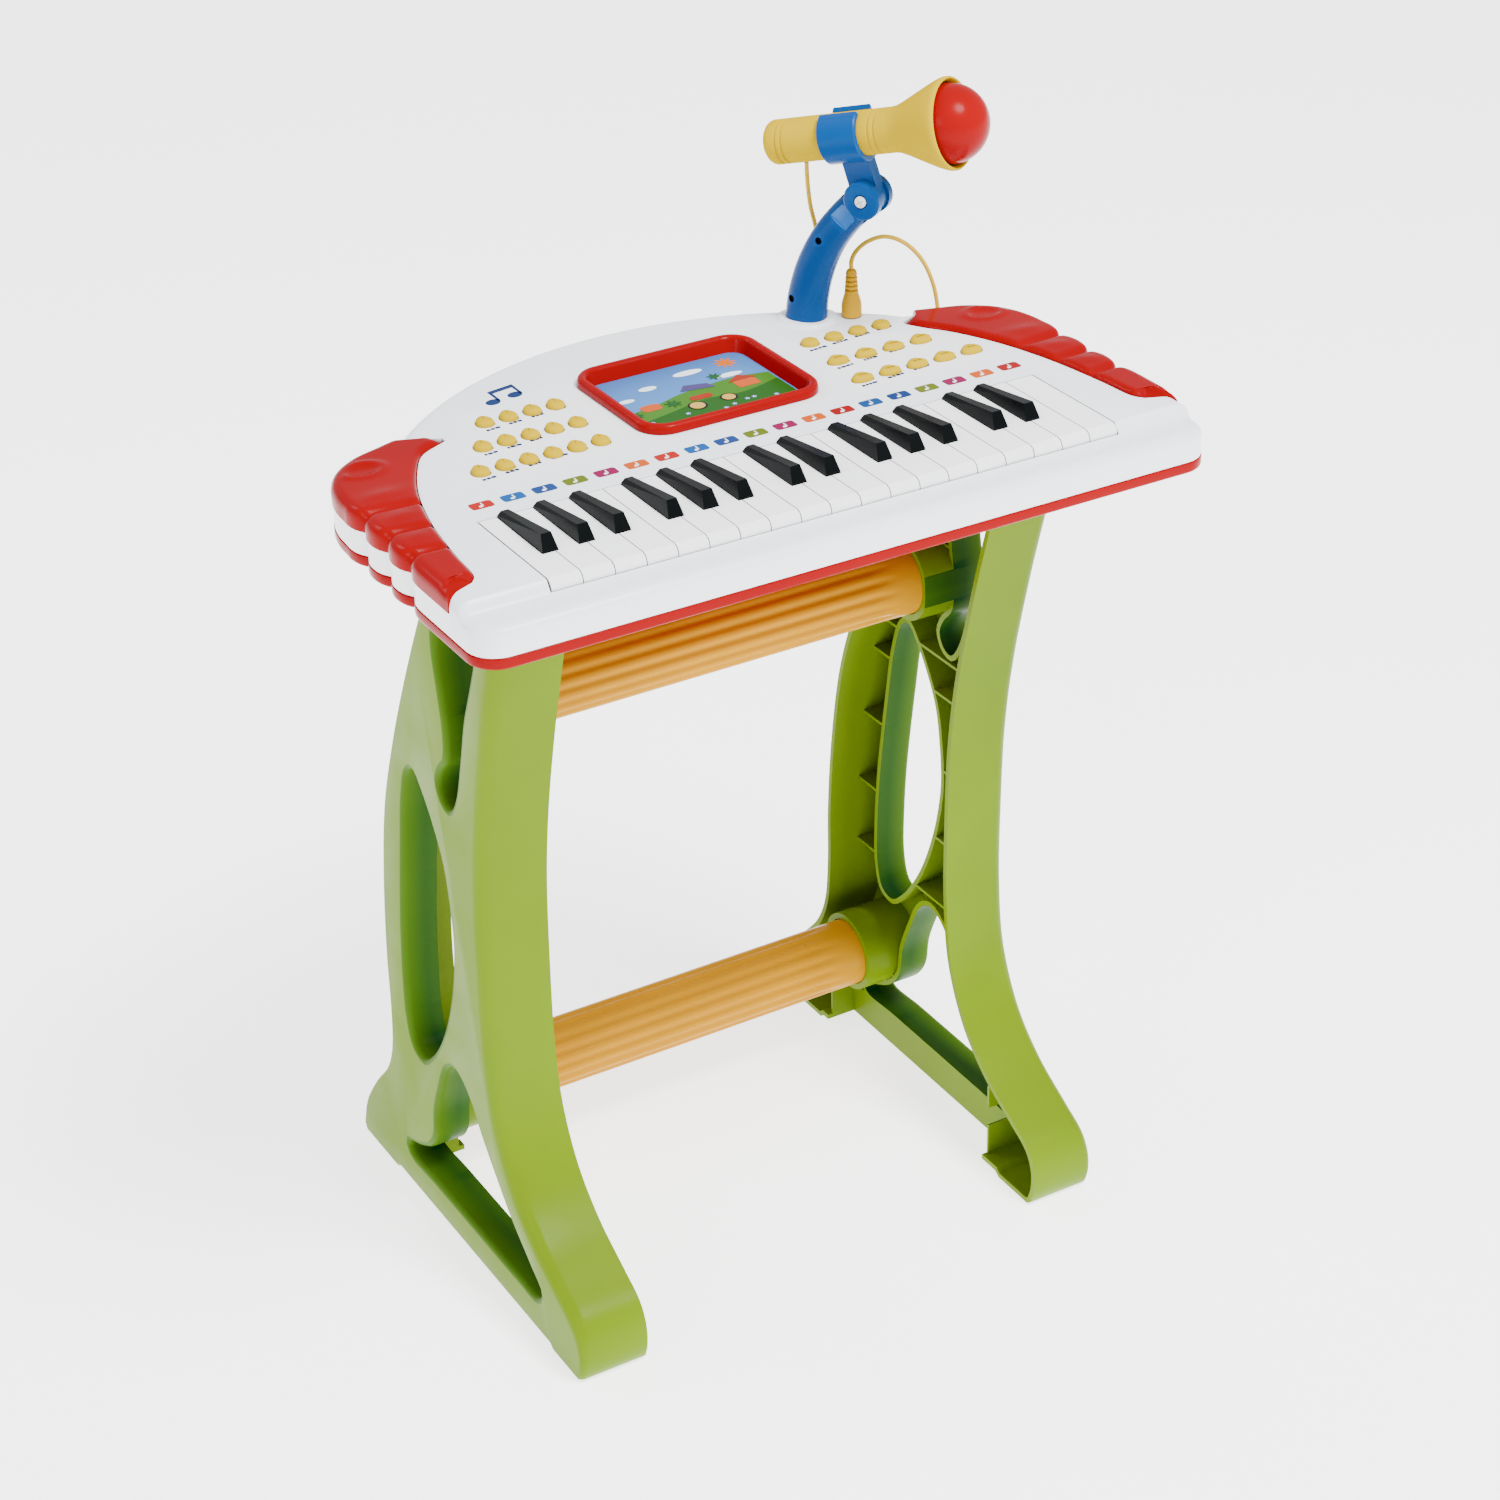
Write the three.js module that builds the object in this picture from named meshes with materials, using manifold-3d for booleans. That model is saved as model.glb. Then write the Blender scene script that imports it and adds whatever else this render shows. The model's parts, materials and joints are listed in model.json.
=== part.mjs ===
// Toy electronic keyboard on a two-frame stand, with a microphone on a curved arm.
// Millimetres. +X runs to the player's right, +Y to the back, +Z up. The floor is z = 0.
import * as THREE from "three";
import { mergeVertices } from "three/addons/utils/BufferGeometryUtils.js";
import Module from "manifold-3d";

const wasm = await Module();
wasm.setup();

// ---------------------------------------------------------------- driving dimensions
const GAP = 0.3; // clearance between touching pieces

// case
const CASE_HALF_WIDTH = 239;
const CASE_FRONT = -174;
const CASE_BOTTOM = 524;
const CASE_SPLIT = 531; // joint between the red tray and the white cover
const DECK = 556; // flat top of the cover
const FRONT_LEDGE = 549; // lower strip in front of the keys
const WALL = 3;
const ARC_RADIUS = 236; // curved back edge
const ARC_CENTRE_Y = -98.5;
const CORNER_RADIUS = 18;
const EDGE_ROUND = 8;

// keys
const WHITE_COUNT = 19;
const WHITE_PITCH = 19.5;
const WHITE_WIDTH = 18.9;
const KEY_FRONT = -152;
const KEY_BACK = -65.6; // where the visible top ends at the cover's edge
const KEY_TAIL = -46; // hidden rear end
const KEY_UNDERSIDE = 547;
const TAIL_TOP = 551.6;
// number of white keys to the left of each black one
const BLACK_GROUPS = [[1, 2, 3], [5, 6, 7], [9, 10], [12, 13, 14], [16, 17]];
const BLACK_SPREAD = 2.9; // black keys of one group stand this much further apart than the white ones
const BLACK_WIDTH = 9.6;
const BLACK_TOP_WIDTH = 6.4;
const BLACK_REAR_WIDTH = 4.6; // the top narrows and sinks towards the back
const BLACK_FRONT = -120;
const BLACK_TOP = 565.5;
const BLACK_REAR_TOP = 559.2;

// screen
const SCREEN_X = 8.5;
const SCREEN_Y = 29.5;
const BEZEL_WIDTH = 122;
const BEZEL_DEPTH = 104;
const BEZEL_RIM = 6;
const BEZEL_TOP = 562;
const PANEL_TOP = 552;

// buttons: each row is one moulding with its caps on a rail under the cover
const CAP_TOP = 559.5;
const RAIL_TOP = 549.6;
const RAIL_BOTTOM = 546.6;
const BUTTON_ROWS = {
  left_buttons_back: { y: 52, start: -122.3, pitch: 15.6, count: 4, kind: "egg" },
  left_buttons_middle: { y: 22, start: -138.6, pitch: 15.5, count: 5, kind: "egg" },
  left_buttons_front: { y: -8, start: -155, pitch: 15.5, count: 6, kind: "egg" },
  right_buttons_back: { y: 49, start: 99.3, pitch: 17.3, count: 4, kind: "round" },
  right_buttons_middle: { y: 16.5, start: 98.9, pitch: 19.9, count: 4, kind: "wedge" },
  right_buttons_front: { y: -14.3, start: 96.9, pitch: 19.6, count: 5, kind: "wedge" },
};

// grips
const GRIP_TOP = 560.5;
const GRIP_BOTTOM = 546;
const GRIP_OVERHANG = 0.6;
const GRIP_TIP = { left: 153, right: 166 }; // how near each inner tip comes to the middle

// stand
const FRAME_INNER = 145;
const FRAME_OUTER = 191;
const FRAME_SKIN = 3.5;
const WEB_INNER = 167; // the floor bar and the walls round the openings reach in only this far
const BAR_FROM = -84; // the narrow part of the floor bar
const BAR_TO = 112;
const BAR_TOP = 27.2;
const TUBE_RADIUS = 22.5;
const TUBE_BORE = 19;
const TUBE_END = 184.7;
const FLUTES = 16;
const UPPER_TUBE = { y: 15, z: 397 };
const LOWER_TUBE = { y: 85, z: 76 };
const SOCKET_OUTER = 28;
const LEG_RIBS = [60, 150, 200, 255, 310, 337, 420, 470]; // heights of the level stiffening ribs
const FOOT_RIBS = [BAR_FROM - 1.7, BAR_TO - 0.3]; // upright ribs that close the legs off from the bar
const RIB_THICKNESS = 2;
const TENON_HEIGHT = 2.2;

// microphone arm, laid out in its own upright plane: s forward from the foot, z up
const ARM_FOOT = { x: 119, y: 85 };
const COLLAR_RADIUS = 17.5;
const ARM_HEADING = THREE.MathUtils.degToRad(-58);
const ARM_HALF = 11;
const ARM_PEG_RADIUS = 10;
const HINGE = { s: 43, z: 642.5 };
const CHEEK_RADIUS = 12;
const TONGUE_HALF = 4.5;
const MIC_PITCH = THREE.MathUtils.degToRad(13.5);
const MIC_RADIUS = 13.7;
const MIC_REAR = { s: -22.7, z: 667.2 };
const BALL_RADIUS = 24;
const BALL_AT = 123;
const CLIP_FROM = 41;
const CLIP_LENGTH = 26;
const CORD_RADIUS = 1.4;
const JACK = { x: 145, y: 73.5 };

// ---------------------------------------------------------------- materials
const material = (color, roughness, metalness = 0) =>
  new THREE.MeshStandardMaterial({ color, roughness, metalness });
const WHITE = material("#f0f3fa", 0.35);
const RED = material("#d0121f", 0.25);
const YELLOW = material("#ffdf2e", 0.4);
const AMBER = material("#f0a62a", 0.4);
const GREEN = material("#8fbe36", 0.45);
const BLUE = material("#0f70bd", 0.35);
const BLACK = material("#161c20", 0.2);
const STEEL = material("#c9ccd0", 0.3, 1);
const BOARD = material("#2c6b3f", 0.6);
const PRINT = material("#8cc3e6", 0.3);

// ---------------------------------------------------------------- solid helpers
// Drops collapsed triangles (a lathe's poles) and turns the surface outwards.
function toSolid(geometry) {
  const g = geometry.clone();
  g.deleteAttribute("normal");
  g.deleteAttribute("uv");
  const merged = mergeVertices(g, 1e-4);
  const position = merged.attributes.position.array;
  const triangles = [];
  let volume = 0;
  for (let i = 0; i < merged.index.count; i += 3) {
    const [a, b, c] = merged.index.array.slice(i, i + 3);
    if (a === b || b === c || c === a) {
      continue;
    }
    const [p, q, r] = [a, b, c].map((k) => new THREE.Vector3().fromArray(position, 3 * k));
    volume += p.dot(q.cross(r));
    triangles.push(a, b, c);
  }
  if (volume < 0) {
    triangles.reverse();
  }
  return new wasm.Manifold(
    new wasm.Mesh({
      numProp: 3,
      vertProperties: new Float32Array(position),
      triVerts: new Uint32Array(triangles),
    }),
  );
}

function toGeometry(solid) {
  const mesh = solid.getMesh();
  const g = new THREE.BufferGeometry();
  const positions = new Float32Array(mesh.numVert * 3);
  for (let i = 0; i < mesh.numVert; i += 1) {
    for (let k = 0; k < 3; k += 1) {
      positions[3 * i + k] = mesh.vertProperties[mesh.numProp * i + k];
    }
  }
  g.setAttribute("position", new THREE.BufferAttribute(positions, 3));
  g.setIndex(new THREE.BufferAttribute(new Uint32Array(mesh.triVerts), 1));
  return g;
}

const v2 = (x, y) => new THREE.Vector2(x, y);
const shapeOf = (points) => new THREE.Shape(points);

// Flat outline lifted from z0 to z1.
function slab(points, z0, z1) {
  const g = new THREE.ExtrudeGeometry(shapeOf(points), { depth: z1 - z0, bevelEnabled: false });
  g.translate(0, 0, z0);
  return toSolid(g);
}

// The same, with its upper edge rounded.
function roundedSlab(points, z0, z1, radius, steps = 2) {
  const g = new THREE.ExtrudeGeometry(shapeOf(points), {
    depth: z1 - z0,
    bevelEnabled: true,
    bevelThickness: radius,
    bevelSize: radius,
    bevelOffset: -radius,
    bevelSegments: steps,
  });
  g.translate(0, 0, z0 - radius);
  return toSolid(g).intersect(boxSolid([-400, -400, z0], [400, 400, z1 + 1]));
}

function boxSolid([x0, y0, z0], [x1, y1, z1]) {
  const g = new THREE.BoxGeometry(x1 - x0, y1 - y0, z1 - z0);
  g.translate((x0 + x1) / 2, (y0 + y1) / 2, (z0 + z1) / 2);
  return toSolid(g);
}

// Upright cylinder.
function post(x, y, radius, z0, z1, sides = 24) {
  const g = new THREE.CylinderGeometry(radius, radius, z1 - z0, sides);
  g.rotateX(Math.PI / 2);
  g.translate(x, y, (z0 + z1) / 2);
  return toSolid(g);
}

// Outline given as (y, z) pairs, extruded along X from x0 to x1.
function sideSlab(pairs, x0, x1) {
  const g = new THREE.ExtrudeGeometry(shapeOf(pairs.map(([y, z]) => v2(y, z))), {
    depth: x1 - x0,
    bevelEnabled: false,
  });
  g.rotateY(Math.PI / 2);
  g.rotateX(Math.PI / 2);
  g.translate(x0, 0, 0);
  return toSolid(g);
}

// Moves every point of a closed outline along its outward normal.
function offsetLoop(points, distance) {
  const area = THREE.ShapeUtils.area(points);
  const side = area > 0 ? 1 : -1;
  return points.map((p, i) => {
    const before = points[(i + points.length - 1) % points.length];
    const after = points[(i + 1) % points.length];
    const a = p.clone().sub(before).normalize();
    const b = after.clone().sub(p).normalize();
    const normal = v2(a.y + b.y, -a.x - b.x).multiplyScalar(side).normalize();
    const spread = Math.max(0.5, normal.dot(v2(b.y, -b.x).multiplyScalar(side)));
    return p.clone().addScaledVector(normal, distance / spread);
  });
}

// Smooth closed outline through control points given as pairs.
function smoothLoop(pairs, steps) {
  const curve = new THREE.CatmullRomCurve3(
    pairs.map(([x, y]) => new THREE.Vector3(x, y, 0)),
    true,
    "centripetal",
  );
  return curve.getSpacedPoints(steps).slice(0, steps).map((p) => v2(p.x, p.y));
}

// Smooth open line through control points given as pairs.
function smoothLine(pairs, steps) {
  const curve = new THREE.CatmullRomCurve3(
    pairs.map(([x, y]) => new THREE.Vector3(x, y, 0)),
    false,
    "centripetal",
  );
  return curve.getSpacedPoints(steps).map((p) => v2(p.x, p.y));
}

const mirrored = (points) => points.map((p) => v2(-p.x, p.y)).reverse();

function roundedRect(cx, cy, width, height, radius, cornerSteps = 5) {
  const points = [];
  for (const [sx, sy, start] of [[1, 1, 0], [-1, 1, 90], [-1, -1, 180], [1, -1, 270]]) {
    for (let i = 0; i <= cornerSteps; i += 1) {
      const a = THREE.MathUtils.degToRad(start + (90 * i) / cornerSteps);
      points.push(
        v2(
          cx + sx * (width / 2 - radius) + radius * Math.cos(a),
          cy + sy * (height / 2 - radius) + radius * Math.sin(a),
        ),
      );
    }
  }
  return points;
}

// ---------------------------------------------------------------- case outline
// Right-hand side wall from front to back: three finger hollows, then the rounded ear.
const HOLLOWS = [-84, -55, -25];

function rightSide() {
  const points = [];
  for (let i = 0; i <= 5; i += 1) {
    const a = THREE.MathUtils.degToRad(-90 + 18 * i);
    points.push(
      v2(
        CASE_HALF_WIDTH - CORNER_RADIUS + CORNER_RADIUS * Math.cos(a),
        CASE_FRONT + CORNER_RADIUS + CORNER_RADIUS * Math.sin(a),
      ),
    );
  }
  points.push(v2(CASE_HALF_WIDTH, -125));
  points.push(v2(CASE_HALF_WIDTH - 1, -96));
  for (const y of HOLLOWS) {
    points.push(v2(CASE_HALF_WIDTH - 5, y));
    points.push(v2(CASE_HALF_WIDTH - 1.5, y + 8));
    points.push(v2(CASE_HALF_WIDTH - 0.5, y + 15));
    points.push(v2(CASE_HALF_WIDTH - 1.5, y + 22));
  }
  return points.slice(0, -1).concat(
    smoothLine([[237.5, -5], [237, 9], [233.5, 23], [225.5, 36], [211, 47], [193, 53.5], [174, 60]], 9),
  );
}

function caseOutline() {
  const right = rightSide();
  const arc = [];
  const start = Math.asin(168 / ARC_RADIUS);
  for (let i = 0; i <= 14; i += 1) {
    const a = start - (2 * start * i) / 14;
    arc.push(v2(ARC_RADIUS * Math.sin(a), ARC_CENTRE_Y + ARC_RADIUS * Math.cos(a)));
  }
  return right.concat(arc, mirrored(right));
}

const CASE = caseOutline();

// Crescent footprint of a right-hand grip whose inner tip is at x = tip.
function gripOutline(tip) {
  const outer = offsetLoop(CASE, GRIP_OVERHANG)
    .filter((p) => p.x > 180 && p.y > -130);
  const inner = smoothLine(
    [[tip + 11, 51], [tip, 46.5], [tip, 42.5], [172, 32], [183, 16], [196, -12], [205, -42], [210, -67],
      [214, -97], [217, -124], [221, -130]],
    16,
  );
  return [v2(CASE_HALF_WIDTH + GRIP_OVERHANG, -138)].concat(outer, inner);
}

const GRIPS = [gripOutline(GRIP_TIP.right), mirrored(gripOutline(GRIP_TIP.left))];

// ---------------------------------------------------------------- buttons
function capOutline(kind, cx, cy, grow) {
  const sizes = { egg: [10.6, 12.8], round: [11.5, 11], wedge: [13.5, 11] };
  const [width, depth] = sizes[kind];
  const points = [];
  for (let i = 0; i < 10; i += 1) {
    const a = (2 * Math.PI * i) / 10;
    const narrowing = kind === "round" ? 1 : 1 - (kind === "egg" ? 0.16 : 0.3) * Math.sin(a);
    points.push(
      v2(
        cx + (width / 2 + grow) * narrowing * Math.cos(a),
        cy + (depth / 2 + grow) * Math.sin(a),
      ),
    );
  }
  return points;
}

function buttonCentres(row) {
  return Array.from({ length: row.count }, (_, i) => [row.start + row.pitch * i, row.y]);
}

function buttonStrip(row) {
  const centres = buttonCentres(row);
  const first = centres[0][0];
  const last = centres[row.count - 1][0];
  let strip = boxSolid([first - 2.5, row.y - 3.5, RAIL_BOTTOM], [last + 2.5, row.y + 3.5, RAIL_TOP]);
  for (const [x, y] of centres) {
    strip = strip.add(roundedSlab(capOutline(row.kind, x, y, 0), RAIL_TOP - 1, CAP_TOP, 1.6, 1));
  }
  return strip;
}

// ---------------------------------------------------------------- case pieces
const KEYBED_HALF = (WHITE_COUNT * WHITE_PITCH) / 2 + 0.6;

function topShell() {
  const slope = [[-300, 700], [-300, FRONT_LEDGE], [-153, FRONT_LEDGE], [-147, DECK], [-147, 700]];
  const upper = roundedSlab(CASE, CASE_SPLIT + GAP, DECK, EDGE_ROUND)
    .subtract(sideSlab(slope, -400, 400));
  let shell = roundedSlab(CASE, CASE_SPLIT + GAP, FRONT_LEDGE, 6, 2).add(upper);
  shell = shell.add(post(ARM_FOOT.x, ARM_FOOT.y, COLLAR_RADIUS, DECK - 2, DECK + 2));

  // hollow inside, kept clear of the grips and of the sloping front strip
  const front = boxSolid([-400, -300, FRONT_LEDGE - WALL], [400, -147, 600]);
  let hollow = slab(offsetLoop(CASE, -WALL), 500, DECK - WALL).subtract(front);
  for (const outline of GRIPS) {
    hollow = hollow.subtract(slab(offsetLoop(outline, WALL), 536, 580));
  }
  shell = shell.subtract(hollow);
  for (const outline of GRIPS) {
    shell = shell.subtract(slab(offsetLoop(outline, GAP), GRIP_BOTTOM - GAP, 600));
  }

  const keyhole = boxSolid([-KEYBED_HALF, KEY_FRONT - 0.6, 500], [KEYBED_HALF, KEY_BACK + 0.6, 600]);
  const window = slab(
    roundedRect(SCREEN_X, SCREEN_Y, BEZEL_WIDTH - 10, BEZEL_DEPTH - 10, 13),
    500,
    600,
  );
  shell = shell.subtract(keyhole).subtract(window);
  for (const row of Object.values(BUTTON_ROWS)) {
    for (const [x, y] of buttonCentres(row)) {
      shell = shell.subtract(slab(capOutline(row.kind, x, y, 0.5), 540, 600));
    }
  }
  shell = shell.subtract(post(ARM_FOOT.x, ARM_FOOT.y, ARM_PEG_RADIUS + GAP, 500, 600));
  shell = shell.subtract(post(JACK.x, JACK.y, 5.3, 500, 600));
  return shell;
}

// Footprints of the stand's tenons, as y ranges.
const TENONS = [[-88, -70], [-46, -28]];

function baseShell() {
  let tray = slab(offsetLoop(CASE, 0.5), CASE_BOTTOM, CASE_SPLIT)
    .subtract(slab(offsetLoop(CASE, -WALL), CASE_BOTTOM + 2.5, 600));
  tray = tray.add(boxSolid([-186, -50, CASE_BOTTOM + 1], [186, -45.5, KEY_UNDERSIDE - GAP]));
  for (const side of [-1, 1]) {
    const x = (side * (FRAME_INNER + FRAME_OUTER)) / 2;
    for (const [y0, y1] of TENONS) {
      tray = tray.subtract(boxSolid([x - 12, y0, 500], [x + 12, y1, CASE_BOTTOM + 2.6]));
    }
  }
  for (let i = 0; i < 5; i += 1) {
    const y = 14 + 9 * i;
    tray = tray.subtract(boxSolid([-118, y, 500], [-82, y + 3, CASE_BOTTOM + 2.6]));
  }
  return tray.subtract(boxSolid([-50.5, -20, 500], [50.5, 60, CASE_BOTTOM + 2.6]));
}

function screenBezel() {
  const outer = roundedRect(SCREEN_X, SCREEN_Y, BEZEL_WIDTH, BEZEL_DEPTH, 18);
  const tub = roundedRect(
    SCREEN_X,
    SCREEN_Y,
    BEZEL_WIDTH - 10 - 2 * GAP,
    BEZEL_DEPTH - 10 - 2 * GAP,
    13,
  );
  const inside = roundedRect(
    SCREEN_X,
    SCREEN_Y,
    BEZEL_WIDTH - 2 * BEZEL_RIM,
    BEZEL_DEPTH - 2 * BEZEL_RIM,
    12,
  );
  return roundedSlab(outer, DECK + GAP, BEZEL_TOP, 2.5, 2)
    .add(slab(tub, PANEL_TOP - 3.4, DECK + 1))
    .subtract(slab(inside, PANEL_TOP - 1.4, 600));
}

function picturePanel() {
  const points = roundedRect(
    SCREEN_X,
    SCREEN_Y,
    BEZEL_WIDTH - 2 * BEZEL_RIM - 2 * GAP,
    BEZEL_DEPTH - 2 * BEZEL_RIM - 2 * GAP,
    11.7,
  );
  return slab(points, PANEL_TOP - 1.4 + GAP, PANEL_TOP);
}

const grip = (points) => roundedSlab(points, GRIP_BOTTOM, GRIP_TOP, 1.8, 2);

// ---------------------------------------------------------------- keys
const whiteLeft = (i) => (i - WHITE_COUNT / 2) * WHITE_PITCH;

const BLACK_CENTRES = BLACK_GROUPS.flatMap((group) =>
  group.map((boundary, i) => whiteLeft(boundary) + BLACK_SPREAD * (i - (group.length - 1) / 2)),
);

function whiteKey(i) {
  const x = whiteLeft(i);
  const profile = [
    [KEY_FRONT, FRONT_LEDGE - 0.5],
    [KEY_FRONT, DECK - 4.5],
    [KEY_FRONT + 1.4, DECK - 1.4],
    [KEY_FRONT + 4.5, DECK],
    [KEY_BACK, DECK],
    [KEY_BACK, TAIL_TOP],
    [KEY_TAIL, TAIL_TOP],
    [KEY_TAIL, KEY_UNDERSIDE],
    [KEY_FRONT + 3, KEY_UNDERSIDE],
  ];
  const inset = (WHITE_PITCH - WHITE_WIDTH) / 2;
  const half = BLACK_WIDTH / 2 + 0.4;
  let key = sideSlab(profile, x + inset, x + WHITE_PITCH - inset);
  for (const c of BLACK_CENTRES) {
    key = key.subtract(boxSolid([c - half, BLACK_FRONT - 0.6, 500], [c + half, 0, 600]));
  }
  return key;
}

// A tapered bar, highest just behind its sloping front, with a low tail under the cover.
function blackKey(c) {
  const w = BLACK_WIDTH / 2;
  const corners = [
    [w, BLACK_FRONT, KEY_UNDERSIDE],
    [w, KEY_BACK, KEY_UNDERSIDE],
    [w, BLACK_FRONT, DECK + 1],
    [w, KEY_BACK, DECK + 1],
    [BLACK_TOP_WIDTH / 2, BLACK_FRONT + 4.5, BLACK_TOP],
    [BLACK_REAR_WIDTH / 2, KEY_BACK, BLACK_REAR_TOP],
  ];
  const body = wasm.Manifold.hull(
    corners.flatMap(([x, y, z]) => [[c + x, y, z], [c - x, y, z]]),
  );
  return body.add(boxSolid([c - w, KEY_BACK - 5, KEY_UNDERSIDE], [c + w, KEY_TAIL, TAIL_TOP]));
}

// ---------------------------------------------------------------- stand
// Side outline of one frame as (y, z), front edge downwards, then along the floor and up the back.
const FRAME_FRONT = [
  [-97, 523.7], [-83, 474], [-68, 424], [-50, 352], [-42, 300], [-39, 240], [-39, 180], [-45, 136],
  [-63, 98], [-88, 73], [-116, 56], [-137, 43], [-144, 30], [-144.5, 14], [-141, 3],
];
const FRAME_BACK = [
  [174.5, 6], [167, 28], [147, 56], [124, 82], [114, 104], [110, 135], [109, 180], [103, 240],
  [91, 300], [70, 355], [44, 410], [12, 470], [-19, 523.7],
];
const FRAME_FLOOR = [
  [-137, 0], [-104, 0], [-100, 3], [118, 3], [122, 0], [171, 0],
];
const NOTCH = [
  [-8, 345], [-17, 356], [-28, 389], [-37, 420], [-48, 446], [-60, 478], [-64, 505], [-48, 511],
  [-30, 508], [-13, 492], [-4, 455], [-8, 424], [-11.4, 400], [-9, 378], [1, 366], [5, 356],
  [0, 347],
];
const SLOT = [
  [62, 124], [48, 135], [36, 150], [24, 170], [13, 196], [6, 220], [2, 246], [4, 275], [9, 300],
  [19, 320], [32, 338], [42, 347], [50, 342], [59, 318], [66, 281], [72, 246], [77, 212],
  [80, 176], [80, 145], [74, 127],
];
const ARCH = [
  [14, 143], [4, 140], [-8, 129], [-17, 115], [-31, 97], [-54, 71], [-78, 50], [-91, 38],
  [-86, 30], [-60, 29], [0, 29], [60, 29], [95, 29], [98, 35], [80, 43], [63, 53], [52, 68],
  [48, 90], [38, 114], [26, 136],
];

function frameOutline() {
  return smoothLine(FRAME_FRONT, 17)
    .concat(FRAME_FLOOR.map(([y, z]) => v2(y, z)))
    .concat(smoothLine(FRAME_BACK, 15));
}

const asPairs = (points) => points.map((p) => [p.x, p.y]);

// Cylinder lying along X.
function crossCylinder(at, radius, x0, x1, sides = 20) {
  const g = new THREE.CylinderGeometry(radius, radius, x1 - x0, sides);
  g.rotateZ(Math.PI / 2);
  g.translate((x0 + x1) / 2, at.y, at.z);
  return toSolid(g);
}

function rightFrame() {
  const outline = frameOutline();
  const holes = [smoothLoop(NOTCH, 26), smoothLoop(SLOT, 26), smoothLoop(ARCH, 30)];
  let frame = sideSlab(asPairs(outline), FRAME_INNER, FRAME_OUTER);
  let pocket = sideSlab(
    asPairs(offsetLoop(outline, -FRAME_SKIN)),
    FRAME_INNER - 1,
    FRAME_OUTER - FRAME_SKIN,
  );
  for (const hole of holes) {
    frame = frame.subtract(sideSlab(asPairs(hole), 100, 250));
    pocket = pocket.subtract(sideSlab(asPairs(offsetLoop(hole, FRAME_SKIN)), WEB_INNER, 250));
  }
  for (const tube of [UPPER_TUBE, LOWER_TUBE]) {
    pocket = pocket.subtract(crossCylinder(tube, SOCKET_OUTER, 100, 250));
  }
  for (const z of LEG_RIBS) {
    pocket = pocket.subtract(boxSolid([WEB_INNER, -250, z], [250, 250, z + RIB_THICKNESS]));
  }
  for (const y of FOOT_RIBS) {
    const top = LEG_RIBS[0] + 1;
    pocket = pocket.subtract(boxSolid([FRAME_INNER + 4, y, 0], [250, y + RIB_THICKNESS, top]));
  }
  pocket = pocket.subtract(boxSolid([WEB_INNER, BAR_FROM, 0], [250, BAR_TO, BAR_TOP]));
  const besideBar = boxSolid([100, BAR_FROM, -5], [WEB_INNER, BAR_TO, BAR_TOP + 16]);
  frame = frame.subtract(pocket).subtract(besideBar);
  for (const tube of [UPPER_TUBE, LOWER_TUBE]) {
    frame = frame.subtract(crossCylinder(tube, TUBE_RADIUS + 1.3, 100, TUBE_END + GAP));
  }
  const x = (FRAME_INNER + FRAME_OUTER) / 2;
  for (const [y0, y1] of TENONS) {
    const z = CASE_BOTTOM - GAP;
    frame = frame.add(
      boxSolid([x - 12 + GAP, y0 + GAP, z - FRAME_SKIN], [x + 12 - GAP, y1 - GAP, z + TENON_HEIGHT]),
    );
  }
  return frame;
}

function crossTube(at) {
  const shape = new THREE.Shape();
  const steps = FLUTES * 4;
  for (let i = 0; i < steps; i += 1) {
    const a = (2 * Math.PI * i) / steps;
    const r = TUBE_RADIUS + 0.8 * (i % 4 === 0 ? -1 : 1);
    if (i === 0) {
      shape.moveTo(r * Math.cos(a), r * Math.sin(a));
    } else {
      shape.lineTo(r * Math.cos(a), r * Math.sin(a));
    }
  }
  shape.closePath();
  const bore = new THREE.Path();
  bore.absarc(0, 0, TUBE_BORE, 0, 2 * Math.PI, true);
  shape.holes.push(bore);
  const g = new THREE.ExtrudeGeometry(shape, { depth: 2 * TUBE_END, bevelEnabled: false, curveSegments: 12 });
  g.translate(0, 0, -TUBE_END);
  g.rotateY(Math.PI / 2);
  g.translate(0, at.y, at.z);
  return toSolid(g);
}

// ---------------------------------------------------------------- microphone
// Turns the arm's own axes (s forward, across, z up) into the object's.
function placeOnArm(geometry) {
  geometry.rotateZ(ARM_HEADING);
  geometry.translate(ARM_FOOT.x, ARM_FOOT.y, 0);
  return geometry;
}

function armPoint(s, across, z) {
  const c = Math.cos(ARM_HEADING);
  const n = Math.sin(ARM_HEADING);
  return new THREE.Vector3(ARM_FOOT.x + s * c - across * n, ARM_FOOT.y + s * n + across * c, z);
}

// Outline in the arm's plane as (s, z), extruded across it.
function armSlab(points, from, to, bevel = 0) {
  const g = new THREE.ExtrudeGeometry(shapeOf(points), {
    depth: to - from - 2 * bevel,
    bevelEnabled: bevel > 0,
    bevelThickness: bevel,
    bevelSize: bevel,
    bevelOffset: -bevel,
    bevelSegments: 1,
  });
  g.rotateX(Math.PI / 2);
  g.translate(0, to - bevel, 0);
  return toSolid(placeOnArm(g));
}

const circlePoints = (s, z, radius, steps = 18) =>
  Array.from({ length: steps }, (_, i) => {
    const a = (2 * Math.PI * i) / steps;
    return v2(s + radius * Math.cos(a), z + radius * Math.sin(a));
  });

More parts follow.
